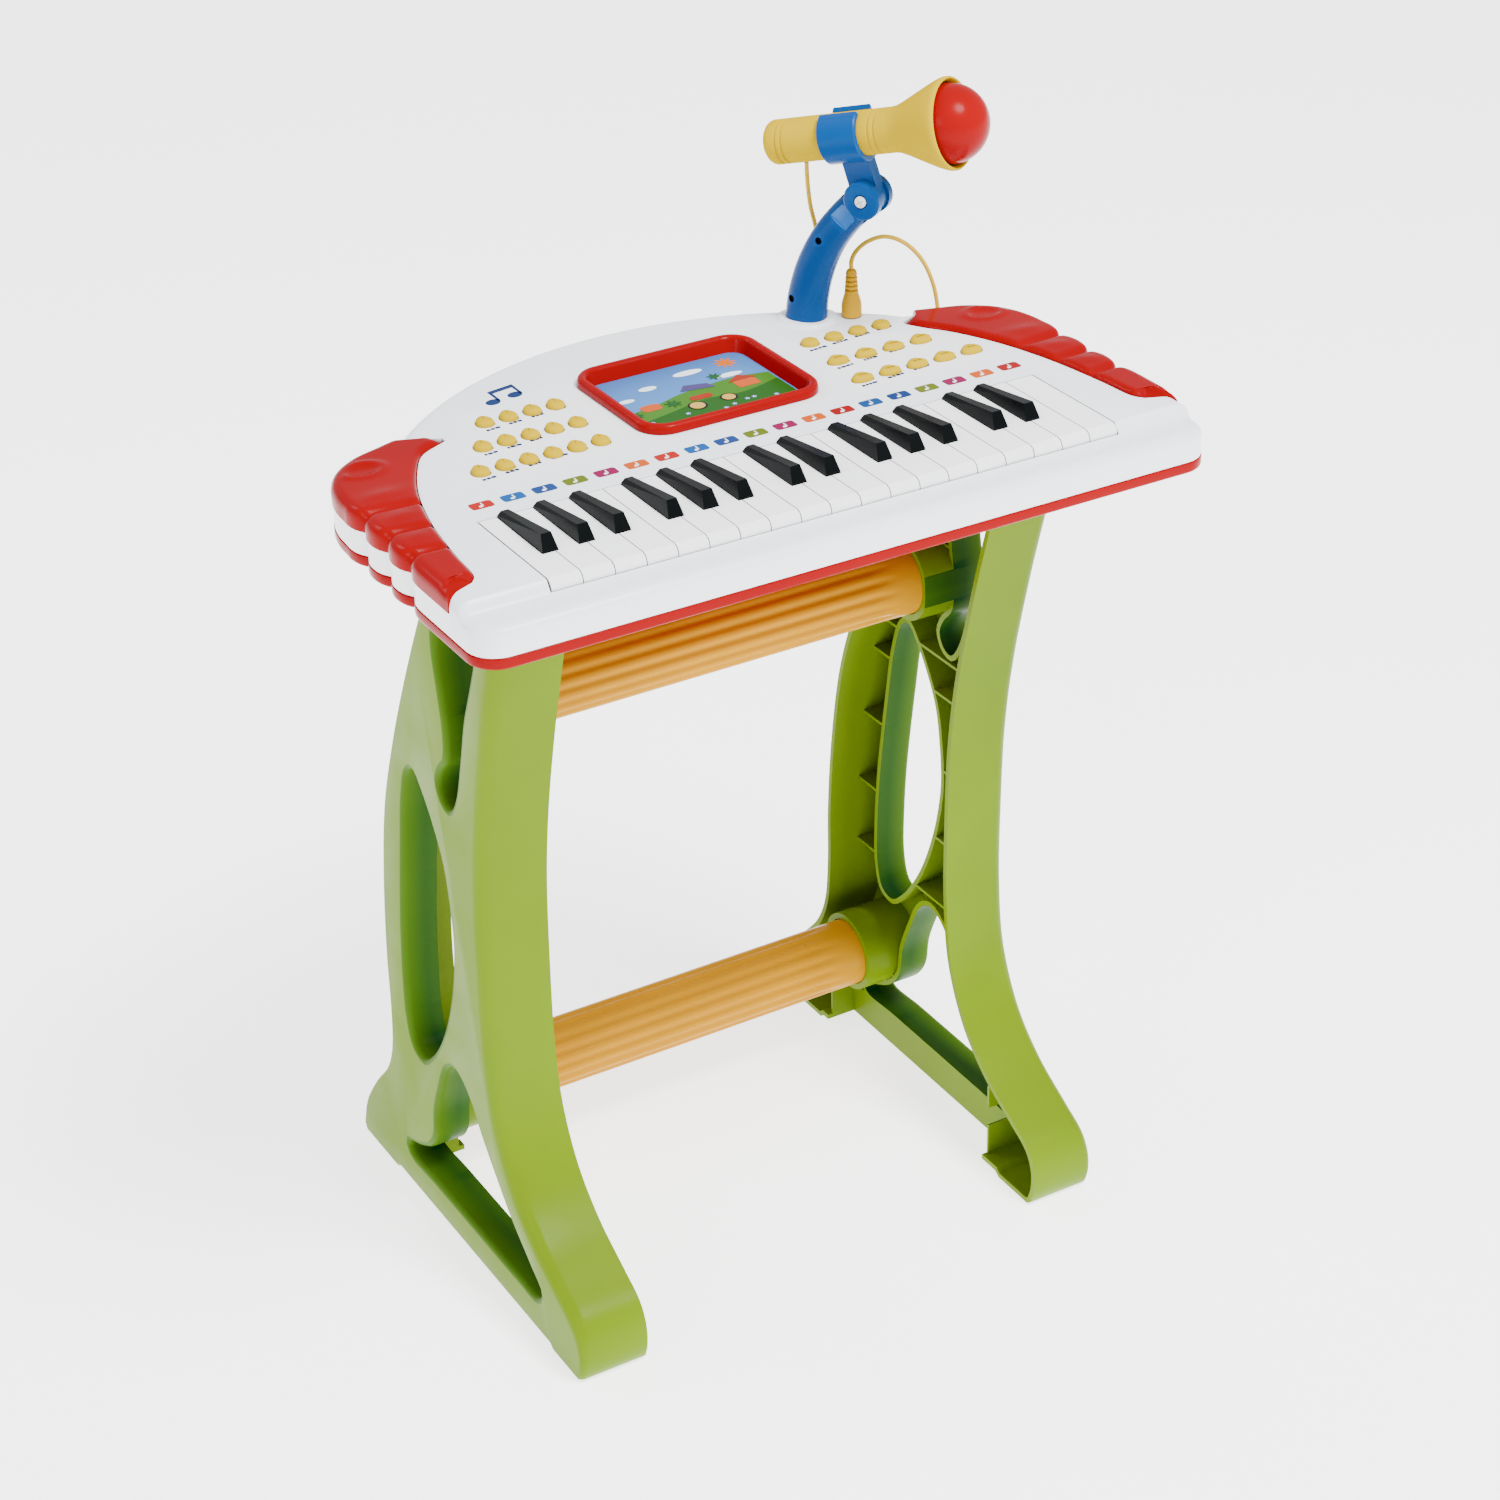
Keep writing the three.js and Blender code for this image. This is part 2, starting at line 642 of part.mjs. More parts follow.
function armOutline() {
  const foot = DECK + 2 + GAP;
  const back = smoothLine([[-13, foot], [-11.2, 576], [-4, 600], [9, 623.5], [22, 639.5], [35, 651]], 12);
  const front = smoothLine([[49, 632.5], [37, 624], [26.5, 609], [17.8, 589], [13.2, foot]], 10);
  const knuckle = [];
  for (let i = 1; i < 9; i += 1) {
    const a = THREE.MathUtils.degToRad(125 - 22.5 * i);
    knuckle.push(v2(HINGE.s + CHEEK_RADIUS * Math.cos(a), HINGE.z + CHEEK_RADIUS * Math.sin(a)));
  }
  return back.concat(knuckle, front);
}

// side is -1 for the half nearer the player's left, +1 for the other
function armHalf(side) {
  const cheekSlot = circlePoints(HINGE.s, HINGE.z, CHEEK_RADIUS + 4.5);
  const whole = armSlab(armOutline(), -ARM_HALF, ARM_HALF, 3.5)
    .subtract(armSlab(cheekSlot, -TONGUE_HALF - GAP, TONGUE_HALF + GAP))
    .subtract(armSlab(circlePoints(HINGE.s, HINGE.z, 2.3, 12), -40, 40))
    .add(post(ARM_FOOT.x, ARM_FOOT.y, ARM_PEG_RADIUS, 545, DECK + 3));
  const keep = side < 0 ? [-60, -0.15] : [0.15, 60];
  const halfSpace = [v2(-100, 500), v2(200, 500), v2(200, 700), v2(-100, 700)];
  return whole.intersect(armSlab(halfSpace, keep[0], keep[1]));
}

// Lathe profile given as (distance along the microphone, radius).
function micLathe(profile, sides) {
  const g = new THREE.LatheGeometry(profile.map(([t, r]) => v2(r, t)), sides);
  g.rotateZ(-Math.PI / 2);
  g.rotateY(-MIC_PITCH);
  g.translate(MIC_REAR.s, 0, MIC_REAR.z);
  return toSolid(placeOnArm(g));
}

function micBarrel() {
  const profile = [
    [0, 0],
    [0, 9],
    [1.5, 12],
    [4.5, MIC_RADIUS],
    [87, MIC_RADIUS],
    [95, 16.2],
    [105, 20.6],
    [116, 25.8],
    [123, 27.8],
    [125.5, 27.8],
    [125.5, 26.2],
    [123, 25],
    [116, 24],
    [110, 21.3],
    [105, 17.3],
    [101, 11.2],
    [98.3, 4],
    [98, 0],
  ];
  return micLathe(profile, 20);
}

function micHead() {
  const profile = [];
  for (let i = 0; i <= 10; i += 1) {
    const a = -Math.PI / 2 + (Math.PI * i) / 10;
    const r = i === 0 || i === 10 ? 0 : BALL_RADIUS * Math.cos(a);
    profile.push([BALL_AT + BALL_RADIUS * Math.sin(a), r]);
  }
  return micLathe(profile, 18);
}

// Point on the microphone's axis, in the arm's plane.
const onMic = (t, lift) => [
  MIC_REAR.s + t * Math.cos(MIC_PITCH) - lift * Math.sin(MIC_PITCH),
  MIC_REAR.z + t * Math.sin(MIC_PITCH) + lift * Math.cos(MIC_PITCH),
];

function micClip() {
  const inner = MIC_RADIUS + GAP;
  const outer = inner + 3;
  const band = new THREE.Shape();
  const from = THREE.MathUtils.degToRad(-245);
  const to = THREE.MathUtils.degToRad(50);
  band.absarc(0, 0, outer, from, to, false);
  band.absarc(0, 0, inner, to, from, true);
  const g = new THREE.ExtrudeGeometry(band, { depth: CLIP_LENGTH, bevelEnabled: false, curveSegments: 14 });
  // the band's local x becomes "across", its y stays up, and its depth runs along the microphone
  g.rotateX(Math.PI / 2);
  g.rotateZ(Math.PI / 2);
  g.translate(CLIP_FROM, 0, 0);
  g.rotateY(-MIC_PITCH);
  g.translate(MIC_REAR.s, 0, MIC_REAR.z);
  const ring = toSolid(placeOnArm(g));
  const [s0, z0] = onMic(CLIP_FROM + 8, -inner - 1.5);
  const [s1, z1] = onMic(CLIP_FROM + 26, -inner - 1.5);
  const neck = [v2(HINGE.s - 9.5, HINGE.z + 3), v2(HINGE.s + 9.5, HINGE.z + 3), v2(s1, z1), v2(s0, z0)];
  return ring
    .add(armSlab(neck, -TONGUE_HALF, TONGUE_HALF))
    .add(armSlab(circlePoints(HINGE.s, HINGE.z, 10.5, 20), -TONGUE_HALF, TONGUE_HALF))
    .subtract(armSlab(circlePoints(HINGE.s, HINGE.z, 2.3, 12), -40, 40));
}

function hingeScrew() {
  return armSlab(circlePoints(HINGE.s, HINGE.z, 2, 12), -ARM_HALF - 1, ARM_HALF + 1)
    .add(armSlab(circlePoints(HINGE.s, HINGE.z, 3.6, 14), -ARM_HALF - 2, -ARM_HALF - GAP))
    .add(armSlab(circlePoints(HINGE.s, HINGE.z, 3.6, 14), ARM_HALF + GAP, ARM_HALF + 2));
}

// ---------------------------------------------------------------- cord and plug
// From under the microphone down behind the case, as (s, across, z) in the arm's axes,
const CORD_ROUTE = [
  [1.5, 0, 658.2],
  [1.5, 0.3, 651],
  [1.3, 2, 641],
  [0.8, 6, 628],
  [0.4, 13, 613],
  [1, 19, 590],
  [1.4, 22.5, 565],
];
// then round a hanging loop, up again and over into the plug, as (x, y, z).
const CORD_DROP = [
  [139.5, 99, 530],
  [141.5, 98.5, 500],
  [144.5, 97, 465],
  [149, 94, 432],
  [156, 90, 409],
  [166, 85, 397],
  [177, 80, 397],
  [187, 75, 409],
  [194, 71, 432],
  [198.5, 67.5, 465],
  [201, 65, 500],
  [202.3, 63, 530],
  [201.6, 62, 553],
  [197.5, 62.5, 572],
  [190, 64.5, 588],
  [179, 67.5, 599.5],
  [167, 70.5, 604.5],
  [155.5, 72.7, 602.5],
  [148, 73.8, 597],
];

function cordPath() {
  const points = CORD_ROUTE.map(([s, across, z]) => armPoint(s, across, z));
  for (const [x, y, z] of CORD_DROP) {
    points.push(new THREE.Vector3(x, y, z));
  }
  points.push(new THREE.Vector3(JACK.x, JACK.y, 591.5));
  points.push(new THREE.Vector3(JACK.x, JACK.y, 587));
  return new THREE.CatmullRomCurve3(points, false, "centripetal");
}

function micCord() {
  const circle = new THREE.Shape(
    Array.from({ length: 8 }, (_, i) =>
      v2(CORD_RADIUS * Math.cos((Math.PI * i) / 4), CORD_RADIUS * Math.sin((Math.PI * i) / 4)),
    ),
  );
  const g = new THREE.ExtrudeGeometry(circle, { steps: 80, extrudePath: cordPath(), bevelEnabled: false });
  return toSolid(g);
}

function micPlug() {
  const profile = [
    [545, 0],
    [545, 1.6],
    [DECK + GAP, 1.6],
    [DECK + GAP, 6.2],
    [558, 6.4],
    [564, 6],
    [571, 4.6],
    [574, 4.2],
    [586, 3.4],
    [586.7, 3],
    [586.7, 0],
  ];
  const g = new THREE.LatheGeometry(profile.map(([z, r]) => v2(r, z)), 20);
  g.rotateX(Math.PI / 2);
  g.translate(JACK.x, JACK.y, 0);
  return toSolid(g);
}

function jackSocket() {
  return post(JACK.x, JACK.y, 5, 542, DECK - 0.2, 20).subtract(post(JACK.x, JACK.y, 1.9, 530, 600, 12));
}

// ---------------------------------------------------------------- inside the case
function speaker() {
  const z = CASE_BOTTOM + 2.5 + GAP;
  const g = new THREE.LatheGeometry(
    [[0, z], [28, z], [28, z + 2.5], [14, z + 9], [14, z + 15], [0, z + 15]].map(([r, h]) => v2(r, h)),
    24,
  );
  g.rotateX(Math.PI / 2);
  g.translate(-100, 33, 0);
  return toSolid(g);
}

function batteryCover() {
  return boxSolid([-50, -19.5, CASE_BOTTOM], [50, 59.5, CASE_BOTTOM + 2.2]);
}

// ---------------------------------------------------------------- assembly
const group = new THREE.Group();
group.name = "toy_electronic_keyboard";

function piece(name, solid, look) {
  const mesh = new THREE.Mesh(toGeometry(solid), look);
  mesh.name = name;
  group.add(mesh);
}

const two = (n) => String(n).padStart(2, "0");

piece("top_shell", topShell(), WHITE);
piece("base_shell", baseShell(), RED);
piece("right_grip", grip(GRIPS[0]), RED);
piece("left_grip", grip(GRIPS[1]), RED);
piece("screen_bezel", screenBezel(), RED);
piece("picture_panel", picturePanel(), PRINT);
for (let i = 0; i < WHITE_COUNT; i += 1) {
  piece(`white_key_${two(i + 1)}`, whiteKey(i), WHITE);
}
BLACK_CENTRES.forEach((centre, i) => {
  piece(`black_key_${two(i + 1)}`, blackKey(centre), BLACK);
});
for (const [name, row] of Object.entries(BUTTON_ROWS)) {
  piece(name, buttonStrip(row), YELLOW);
}
const frame = rightFrame();
piece("right_leg_frame", frame, GREEN);
piece("left_leg_frame", frame.mirror([1, 0, 0]), GREEN);
piece("upper_cross_tube", crossTube(UPPER_TUBE), AMBER);
piece("lower_cross_tube", crossTube(LOWER_TUBE), AMBER);
piece("arm_left_half", armHalf(-1), BLUE);
piece("arm_right_half", armHalf(1), BLUE);
piece("hinge_screw", hingeScrew(), STEEL);
piece("mic_clip", micClip(), BLUE);
piece("mic_barrel", micBarrel(), YELLOW);
piece("mic_head", micHead(), RED);
piece("mic_cord", micCord(), AMBER);
piece("mic_plug", micPlug(), AMBER);
piece("jack_socket", jackSocket(), BLACK);
piece("speaker", speaker(), BLACK);
piece("main_board", boxSolid([60, -38, 535], [148, 38, 537]), BOARD);
piece("battery_cover", batteryCover(), RED);

export default group;
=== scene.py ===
"""Looks for the toy keyboard on its stand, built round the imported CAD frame.

Shapes are worked out in millimetres, in the CAD frame, and turned into metres when a mesh is made.
"""
import json
import math
import random

import bmesh
import bpy
from mathutils import Matrix, Vector


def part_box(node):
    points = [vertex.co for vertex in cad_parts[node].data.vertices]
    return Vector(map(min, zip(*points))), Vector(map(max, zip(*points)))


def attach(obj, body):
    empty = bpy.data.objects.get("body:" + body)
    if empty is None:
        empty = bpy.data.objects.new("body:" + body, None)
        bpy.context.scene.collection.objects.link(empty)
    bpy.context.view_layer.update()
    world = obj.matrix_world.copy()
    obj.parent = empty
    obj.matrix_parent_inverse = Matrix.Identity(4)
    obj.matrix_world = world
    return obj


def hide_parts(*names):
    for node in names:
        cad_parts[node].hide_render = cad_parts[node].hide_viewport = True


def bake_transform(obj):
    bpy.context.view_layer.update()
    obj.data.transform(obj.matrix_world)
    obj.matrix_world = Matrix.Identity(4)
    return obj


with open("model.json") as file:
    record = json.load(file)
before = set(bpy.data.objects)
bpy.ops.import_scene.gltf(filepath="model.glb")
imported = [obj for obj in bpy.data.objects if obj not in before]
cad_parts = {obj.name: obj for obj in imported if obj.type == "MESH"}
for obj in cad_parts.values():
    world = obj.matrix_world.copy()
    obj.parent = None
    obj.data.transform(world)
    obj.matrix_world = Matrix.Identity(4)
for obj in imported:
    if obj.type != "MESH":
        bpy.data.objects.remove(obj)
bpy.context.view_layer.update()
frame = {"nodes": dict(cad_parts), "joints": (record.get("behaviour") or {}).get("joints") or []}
ROOT = "stand_and_case"
MICROPHONE = "microphone"
MM = 0.001


def corners(node):
    """A CAD node's box at rest, in millimetres."""
    low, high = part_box(node)
    return low / MM, high / MM


def middle(node):
    low, high = corners(node)
    return (low + high) / 2


# ---------- sizes read from the frame
CASE_LOW, CASE_HIGH = corners("base_shell")
KEY_LOW, KEY_HIGH = corners("white_key_01")
LAST_KEY = corners("white_key_19")[1]
SCREEN_LOW, SCREEN_HIGH = corners("screen_bezel")
PANEL_TOP = corners("picture_panel")[1].z
GRIP_TOP = corners("right_grip")[1].z
GRIP_TIPS = {1: corners("right_grip")[0].x, -1: -corners("left_grip")[1].x}
FRAME_LOW, FRAME_HIGH = corners("right_leg_frame")
TUBE_HIGH = corners("upper_cross_tube")[1]
HALF_WIDTH = CASE_HIGH.x - 0.5
FRONT = CASE_LOW.y + 0.5
BOTTOM = CASE_LOW.z
SPLIT = corners("top_shell")[0].z
DECK = KEY_HIGH.z
LEDGE = DECK - 7
KEY_FRONT = KEY_LOW.y
SHELL_WALL = 3
FRONT_SLOPE = -147  # where the deck starts to fall to the ledge
TAG_ROW = -47
TAG_START, TAG_PITCH = -173.8, 19.72
ARC_RADIUS = 236
ARC_CENTRE = CASE_HIGH.y - 0.5 - ARC_RADIUS
PLUG = middle("mic_plug")
PLUG_TOP = corners("mic_plug")[1].z
TILT = next(j for j in frame["joints"] if j["name"] == "mic_tilt")
HINGE = Vector(TILT["pos_m"]) / MM
ACROSS = Vector(TILT["axis"]).normalized()  # from the player's side of the arm to its far side
FORWARD = Vector((ACROSS.y, -ACROSS.x, 0))
UP = Vector((0, 0, 1))
X_AXIS = Vector((1, 0, 0))
HINGE_REACH = 43
KNUCKLE_SLOT = 4.8  # half the gap in the arm's end that holds the clip's lug
PIN_HOLE = 2.3
ARM_FOOT = Vector((HINGE.x, HINGE.y, 0)) - HINGE_REACH * FORWARD
MIC_PITCH = math.radians(13.5)
MIC_AXIS = FORWARD * math.cos(MIC_PITCH) + UP * math.sin(MIC_PITCH)
MIC_UP = UP * math.cos(MIC_PITCH) - FORWARD * math.sin(MIC_PITCH)
MIC_REAR = ARM_FOOT - 22.7 * FORWARD + 667.2 * UP
MIC_RADIUS = 13.7
BALL_RADIUS = 24
BALL_AT = 123


# ---------- lines and outlines
def spline(points, closed=False, steps=10):
    """Centripetal Catmull-Rom line through points, with steps to each span."""
    pts = [Vector(p) for p in points]
    n = len(pts)
    line = []
    for i in range(n if closed else n - 1):
        p1, p2 = pts[i], pts[(i + 1) % n]
        p0 = pts[i - 1] if closed or i else 2 * p1 - p2
        p3 = pts[(i + 2) % n] if closed or i + 2 < n else 2 * p2 - p1
        t1 = (p1 - p0).length ** 0.5
        t2 = t1 + (p2 - p1).length ** 0.5
        t3 = t2 + (p3 - p2).length ** 0.5
        for k in range(steps):
            t = t1 + (t2 - t1) * k / steps
            a1 = p0 * (t1 - t) / t1 + p1 * t / t1
            a2 = p1 * (t2 - t) / (t2 - t1) + p2 * (t - t1) / (t2 - t1)
            a3 = p2 * (t3 - t) / (t3 - t2) + p3 * (t - t2) / (t3 - t2)
            b1 = a1 * (t2 - t) / t2 + a2 * t / t2
            b2 = a2 * (t3 - t) / (t3 - t1) + a3 * (t - t1) / (t3 - t1)
            line.append(b1 * (t2 - t) / (t2 - t1) + b2 * (t - t1) / (t2 - t1))
    if not closed:
        line.append(pts[-1])
    return line


def resample(line, count):
    """The same open line with count evenly spaced points."""
    lengths = [0]
    for a, b in zip(line, line[1:]):
        lengths.append(lengths[-1] + (b - a).length)
    out, k = [], 0
    for i in range(count):
        want = lengths[-1] * i / (count - 1)
        while k < len(line) - 2 and lengths[k + 1] < want:
            k += 1
        span = (lengths[k + 1] - lengths[k]) or 1
        out.append(line[k].lerp(line[k + 1], min(1, (want - lengths[k]) / span)))
    return out


def area(loop):
    return sum(a.x * b.y - b.x * a.y for a, b in zip(loop, loop[1:] + loop[:1])) / 2


def grown(loop, distance):
    """A closed flat loop moved outwards by distance."""
    side = 1 if area(loop) > 0 else -1
    out = []
    for i, p in enumerate(loop):
        a = (p - loop[i - 1]).normalized()
        b = (loop[(i + 1) % len(loop)] - p).normalized()
        normal = Vector((a.y + b.y, -a.x - b.x)) * side
        normal = normal.normalized()
        spread = max(0.5, normal.dot(Vector((b.y, -b.x)) * side))
        out.append(p + normal * (distance / spread))
    return out


def arc(cx, cy, radius, start, end, steps):
    return [
        Vector((cx + radius * math.cos(math.radians(start + (end - start) * k / steps)),
                cy + radius * math.sin(math.radians(start + (end - start) * k / steps))))
        for k in range(steps + 1)
    ]


def turns(count):
    """Evenly spaced angles once round a circle."""
    return [2 * math.pi * k / count for k in range(count)]


def rounded_rect(cx, cy, width, depth, radius, steps=8):
    loop = []
    for sx, sy, start in ((1, 1, 0), (-1, 1, 90), (-1, -1, 180), (1, -1, 270)):
        loop += arc(cx + sx * (width / 2 - radius), cy + sy * (depth / 2 - radius), radius,
                    start, start + 90, steps)
    return loop


def flipped(loop):
    """The mirror image across x = 0, still turning the same way."""
    return [Vector((-p.x, p.y)) for p in reversed(loop)]


def smooth(t):
    t = min(1, max(0, t))
    return t * t * (3 - 2 * t)


# ---------- meshes
def placed(name, data):
    """A new object in the scene."""
    thing = bpy.data.objects.new(name, data)
    bpy.context.scene.collection.objects.link(thing)
    return thing


def make(name, points, faces):
    """A mesh object from points in millimetres, its faces turned outwards."""
    mesh = bpy.data.meshes.new(name)
    mesh.from_pydata([Vector(p) * MM for p in points], [], faces)
    bm = bmesh.new()
    bm.from_mesh(mesh)
    bmesh.ops.recalc_face_normals(bm, faces=bm.faces)
    bm.to_mesh(mesh)
    bm.free()
    return placed(name, mesh)


def loft(name, rings, joined=False):
    """A solid through rings of equally many points, capped, or closed on itself when joined."""
    n, rows = len(rings[0]), len(rings)
    faces = []
    for r in range(rows if joined else rows - 1):
        s = (r + 1) % rows
        for k in range(n):
            m = (k + 1) % n
            faces.append((r * n + k, r * n + m, s * n + m, s * n + k))
    if not joined:
        faces.append(tuple(reversed(range(n))))
        faces.append(tuple(range((rows - 1) * n, rows * n)))
    return make(name, [p for ring in rings for p in ring], faces)


def level(loop, z):
    return [Vector((p.x, p.y, z)) for p in loop]


def rounding(radius, steps=5):
    """(inset, height) pairs round an edge, from the wall up to the top."""
    angles = [math.pi / 2 * k / steps for k in range(steps + 1)]
    return [(radius * (1 - math.cos(a)), radius * math.sin(a)) for a in angles]


def plate(name, loop, z0, z1, top=0, foot=0, steps=5):
    """An upright solid over a loop, with its upper and lower edges rounded."""
    rings = []
    if foot:
        for inset, height in reversed(rounding(foot, steps)):
            rings.append(level(grown(loop, -inset), z0 + foot - height))
    else:
        rings.append(level(loop, z0))
    if top:
        for inset, height in rounding(top, steps):
            rings.append(level(grown(loop, -inset), z1 - top + height))
    else:
        rings.append(level(loop, z1))
    return loft(name, rings)


def box(name, low, high):
    loop = [Vector((low[0], low[1])), Vector((high[0], low[1])),
            Vector((high[0], high[1])), Vector((low[0], high[1]))]
    return plate(name, loop, low[2], high[2])


def side_plate(name, loop, x0, x1):
    """A solid whose outline is a loop of (y, z), reaching from x0 to x1."""
    return loft(name, [[Vector((x, p.x, p.y)) for p in loop] for x in (x0, x1)])


def lathe(name, profile, origin, axis, side, steps=48):
    """A solid turned about axis; profile is (distance along it, radius) from pole to pole."""
    third = axis.cross(side)
    points, faces = [origin + axis * profile[0][0]], []
    inner = profile[1:-1]
    for along, radius in inner:
        for a in turns(steps):
            points.append(origin + axis * along + (side * math.cos(a) + third * math.sin(a)) * radius)
    points.append(origin + axis * profile[-1][0])
    for k in range(steps):
        m = (k + 1) % steps
        faces.append((0, 1 + k, 1 + m))
        for r in range(len(inner) - 1):
            a, b = 1 + r * steps, 1 + (r + 1) * steps
            faces.append((a + k, b + k, b + m, a + m))
        last = 1 + (len(inner) - 1) * steps
        faces.append((last + k, len(points) - 1, last + m))
    return make(name, points, faces)


def rod(name, start, stop, radius, origin, axis, side, steps):
    """A plain cylinder on an axis, from start to stop along it."""
    return lathe(name, [(start, 0), (start, radius), (stop, radius), (stop, 0)], origin, axis, side, steps)


def tube(name, line, radius, sides=12):
    """A closed tube along a line."""
    tangents = []
    for i in range(len(line)):
        tangents.append((line[min(i + 1, len(line) - 1)] - line[max(i - 1, 0)]).normalized())
    side = tangents[0].orthogonal().normalized()
    rings = []
    for p, t in zip(line, tangents):
        side = (side - t * side.dot(t)).normalized()
        third = t.cross(side)
        rings.append([p + (side * math.cos(a) + third * math.sin(a)) * radius for a in turns(sides)])
    return loft(name, rings)


def settle(thing):
    """Replaces a piece's mesh by what its modifiers make of it."""
    graph = bpy.context.evaluated_depsgraph_get()
    mesh = bpy.data.meshes.new_from_object(thing.evaluated_get(graph))
    thing.modifiers.clear()
    thing.data = mesh
    return thing


def combine(thing, others, operation="DIFFERENCE"):
    """Cuts others out of thing, or adds them to it, and removes them."""
    for other in others:
        m = thing.modifiers.new("cut", "BOOLEAN")
        m.operation = operation
        m.solver = "EXACT"
        m.material_mode = "TRANSFER"
        m.object = other
    settle(thing)
    for other in others:
        bpy.data.objects.remove(other)
    return thing


def painted(thing, material):
    thing.data.materials.append(material)
    return thing


def cut(thing, other, material):
    """Cuts other out of thing; the cut faces get the material."""
    return combine(thing, [painted(other, material)])


def join(thing, other, material):
    return combine(thing, [painted(other, material)], "UNION")


def merged(name, things):
    """One object holding several separate meshes."""
    bm = bmesh.new()
    for thing in things:
        bm.from_mesh(thing.data)
    mesh = bpy.data.meshes.new(name)
    bm.to_mesh(mesh)
    bm.free()
    for material in things[0].data.materials:
        mesh.materials.append(material)
    for thing in things:
        bpy.data.objects.remove(thing)
    return placed(name, mesh)


def bevelled(thing, rim, segments, from_angle):
    bevel = thing.modifiers.new("edges", "BEVEL")
    bevel.width = rim * MM
    bevel.segments = segments
    bevel.limit_method = "ANGLE"
    bevel.angle_limit = math.radians(from_angle)
    return bevel


def shaded(thing, angle):
    """Smooth shading, kept sharp where faces meet at more than the angle."""
    for face in thing.data.polygons:
        face.use_smooth = True
    thing.data.set_sharp_from_angle(angle=math.radians(angle))


def finished(thing, material, body=ROOT, stands_for=(), angle=35, rim=0):
    """Gives a piece its material, shading and body, and hides the CAD nodes it stands for."""
    if rim:
        bevelled(thing, rim, 2, 40).miter_outer = "MITER_ARC"
        settle(thing)
    if not thing.data.materials:
        thing.data.materials.append(material)
    shaded(thing, angle)
    if stands_for:
        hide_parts(*stands_for)
    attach(thing, body)
    return thing


# ---------- materials
def plastic(name, color, roughness=0.3, shade=0.12, grain=0.04, coat=0.0, edge_wear_and_sheen=0.05, fade=None,
            metal=0.0, gloss=0.1, painted_gap_shade=None):
    """Moulded plastic: faint flow marks in its colour, a fine grain, edges paled partly by rubbing and
    partly by painted highlight, and handled patches.

    fade is (colour, axis, where it starts, where it is full), measured as a distance from the middle.
    soil is (colour, reach): painted shade, the colour darkened in narrow gaps where little light gets in.
    """
    m = bpy.data.materials.new(name)
    m.use_nodes = True
    nodes, links = m.node_tree.nodes, m.node_tree.links
    shader = nodes["Principled BSDF"]
    place = nodes.new("ShaderNodeTexCoord")

    def fill(node, values):
        for key, value in values.items():
            node.inputs[key].default_value = value
        return node

    def noise(scale, detail, distortion=0.0):
        n = fill(nodes.new("ShaderNodeTexNoise"),
                 {"Scale": scale, "Detail": detail, "Distortion": distortion})
        links.new(place.outputs["Object"], n.inputs["Vector"])
        return n.outputs["Fac"]

    def spread(source, low, high, to_low, to_high):
        n = fill(nodes.new("ShaderNodeMapRange"),
                 {"From Min": low, "From Max": high, "To Min": to_low, "To Max": to_high})
        links.new(source, n.inputs["Value"])
        return n.outputs["Result"]

    def bumps(strength, distance, height):
        n = fill(nodes.new("ShaderNodeBump"), {"Strength": strength, "Distance": distance})
        links.new(height, n.inputs["Height"])
        return n

    def mix(factor, a, b):
        n = nodes.new("ShaderNodeMix")
        n.data_type = "RGBA"
        links.new(factor, n.inputs["Factor"])
        for socket, value in ((n.inputs["A"], a), (n.inputs["B"], b)):
            if isinstance(value, tuple):
                socket.default_value = (*value, 1)
            else:
                links.new(value, socket)
        return n.outputs["Result"]

    dark = tuple(c * (1 - shade) for c in color)
    worn_and_lit_edge_tone = tuple(min(1, c * (1 + 3 * edge_wear_and_sheen) + 0.01 * edge_wear_and_sheen) for c in color)
    tint = mix(spread(noise(9, 3, 0.6), 0.35, 0.65, 0, 1), dark, color)
    if fade:
        deep, axis, start, full = fade
        split = nodes.new("ShaderNodeSeparateXYZ")
        links.new(place.outputs["Object"], split.inputs["Vector"])
        size = nodes.new("ShaderNodeMath")
        size.operation = "ABSOLUTE"
        links.new(split.outputs[axis], size.inputs[0])
        tint = mix(spread(size.outputs[0], start * MM, full * MM, 0, 1), tint, deep)
    # Convex edges are paled, partly by rubbing and partly as painted highlight where rounded edges catch the
    # light.
    shape = nodes.new("ShaderNodeNewGeometry")
    edges = spread(shape.outputs["Pointiness"], 0.52, 0.60, 0, 0.8)
    tint = mix(edges, tint, worn_and_lit_edge_tone)
    # Painted shade: the colour is darkened in narrow gaps, by ambient occlusion.
    if painted_gap_shade:
        gap_shade_occlusion = nodes.new("ShaderNodeAmbientOcclusion")
        gap_shade_occlusion.inputs["Distance"].default_value = painted_gap_shade[1] * MM
        tint = mix(spread(gap_shade_occlusion.outputs["AO"], 0.25, 0.8, 0, 1), painted_gap_shade[0], tint)
    links.new(tint, shader.inputs["Base Color"])
    patches = noise(28, 5, 0.3)
    rough = spread(patches, 0.3, 0.75, max(0.04, roughness - 0.06), roughness + 0.1)
    links.new(rough, shader.inputs["Roughness"])
    fine, waves = bumps(grain, 0.0006, noise(650, 2)), bumps(0.05, 0.002, noise(45, 1))
    links.new(waves.outputs["Normal"], fine.inputs["Normal"])
    links.new(fine.outputs["Normal"], shader.inputs["Normal"])
    fill(shader, {"Coat Weight": coat, "Coat Roughness": 0.08, "Metallic": metal,
                  "Specular IOR Level": gloss})
    return m


def srgb(code):
    """A hex colour as linear red, green and blue."""
    values = [int(code[i:i + 2], 16) / 255 for i in (0, 2, 4)]
    return tuple(v / 12.92 if v <= 0.04045 else ((v + 0.055) / 1.055) ** 2.4 for v in values)


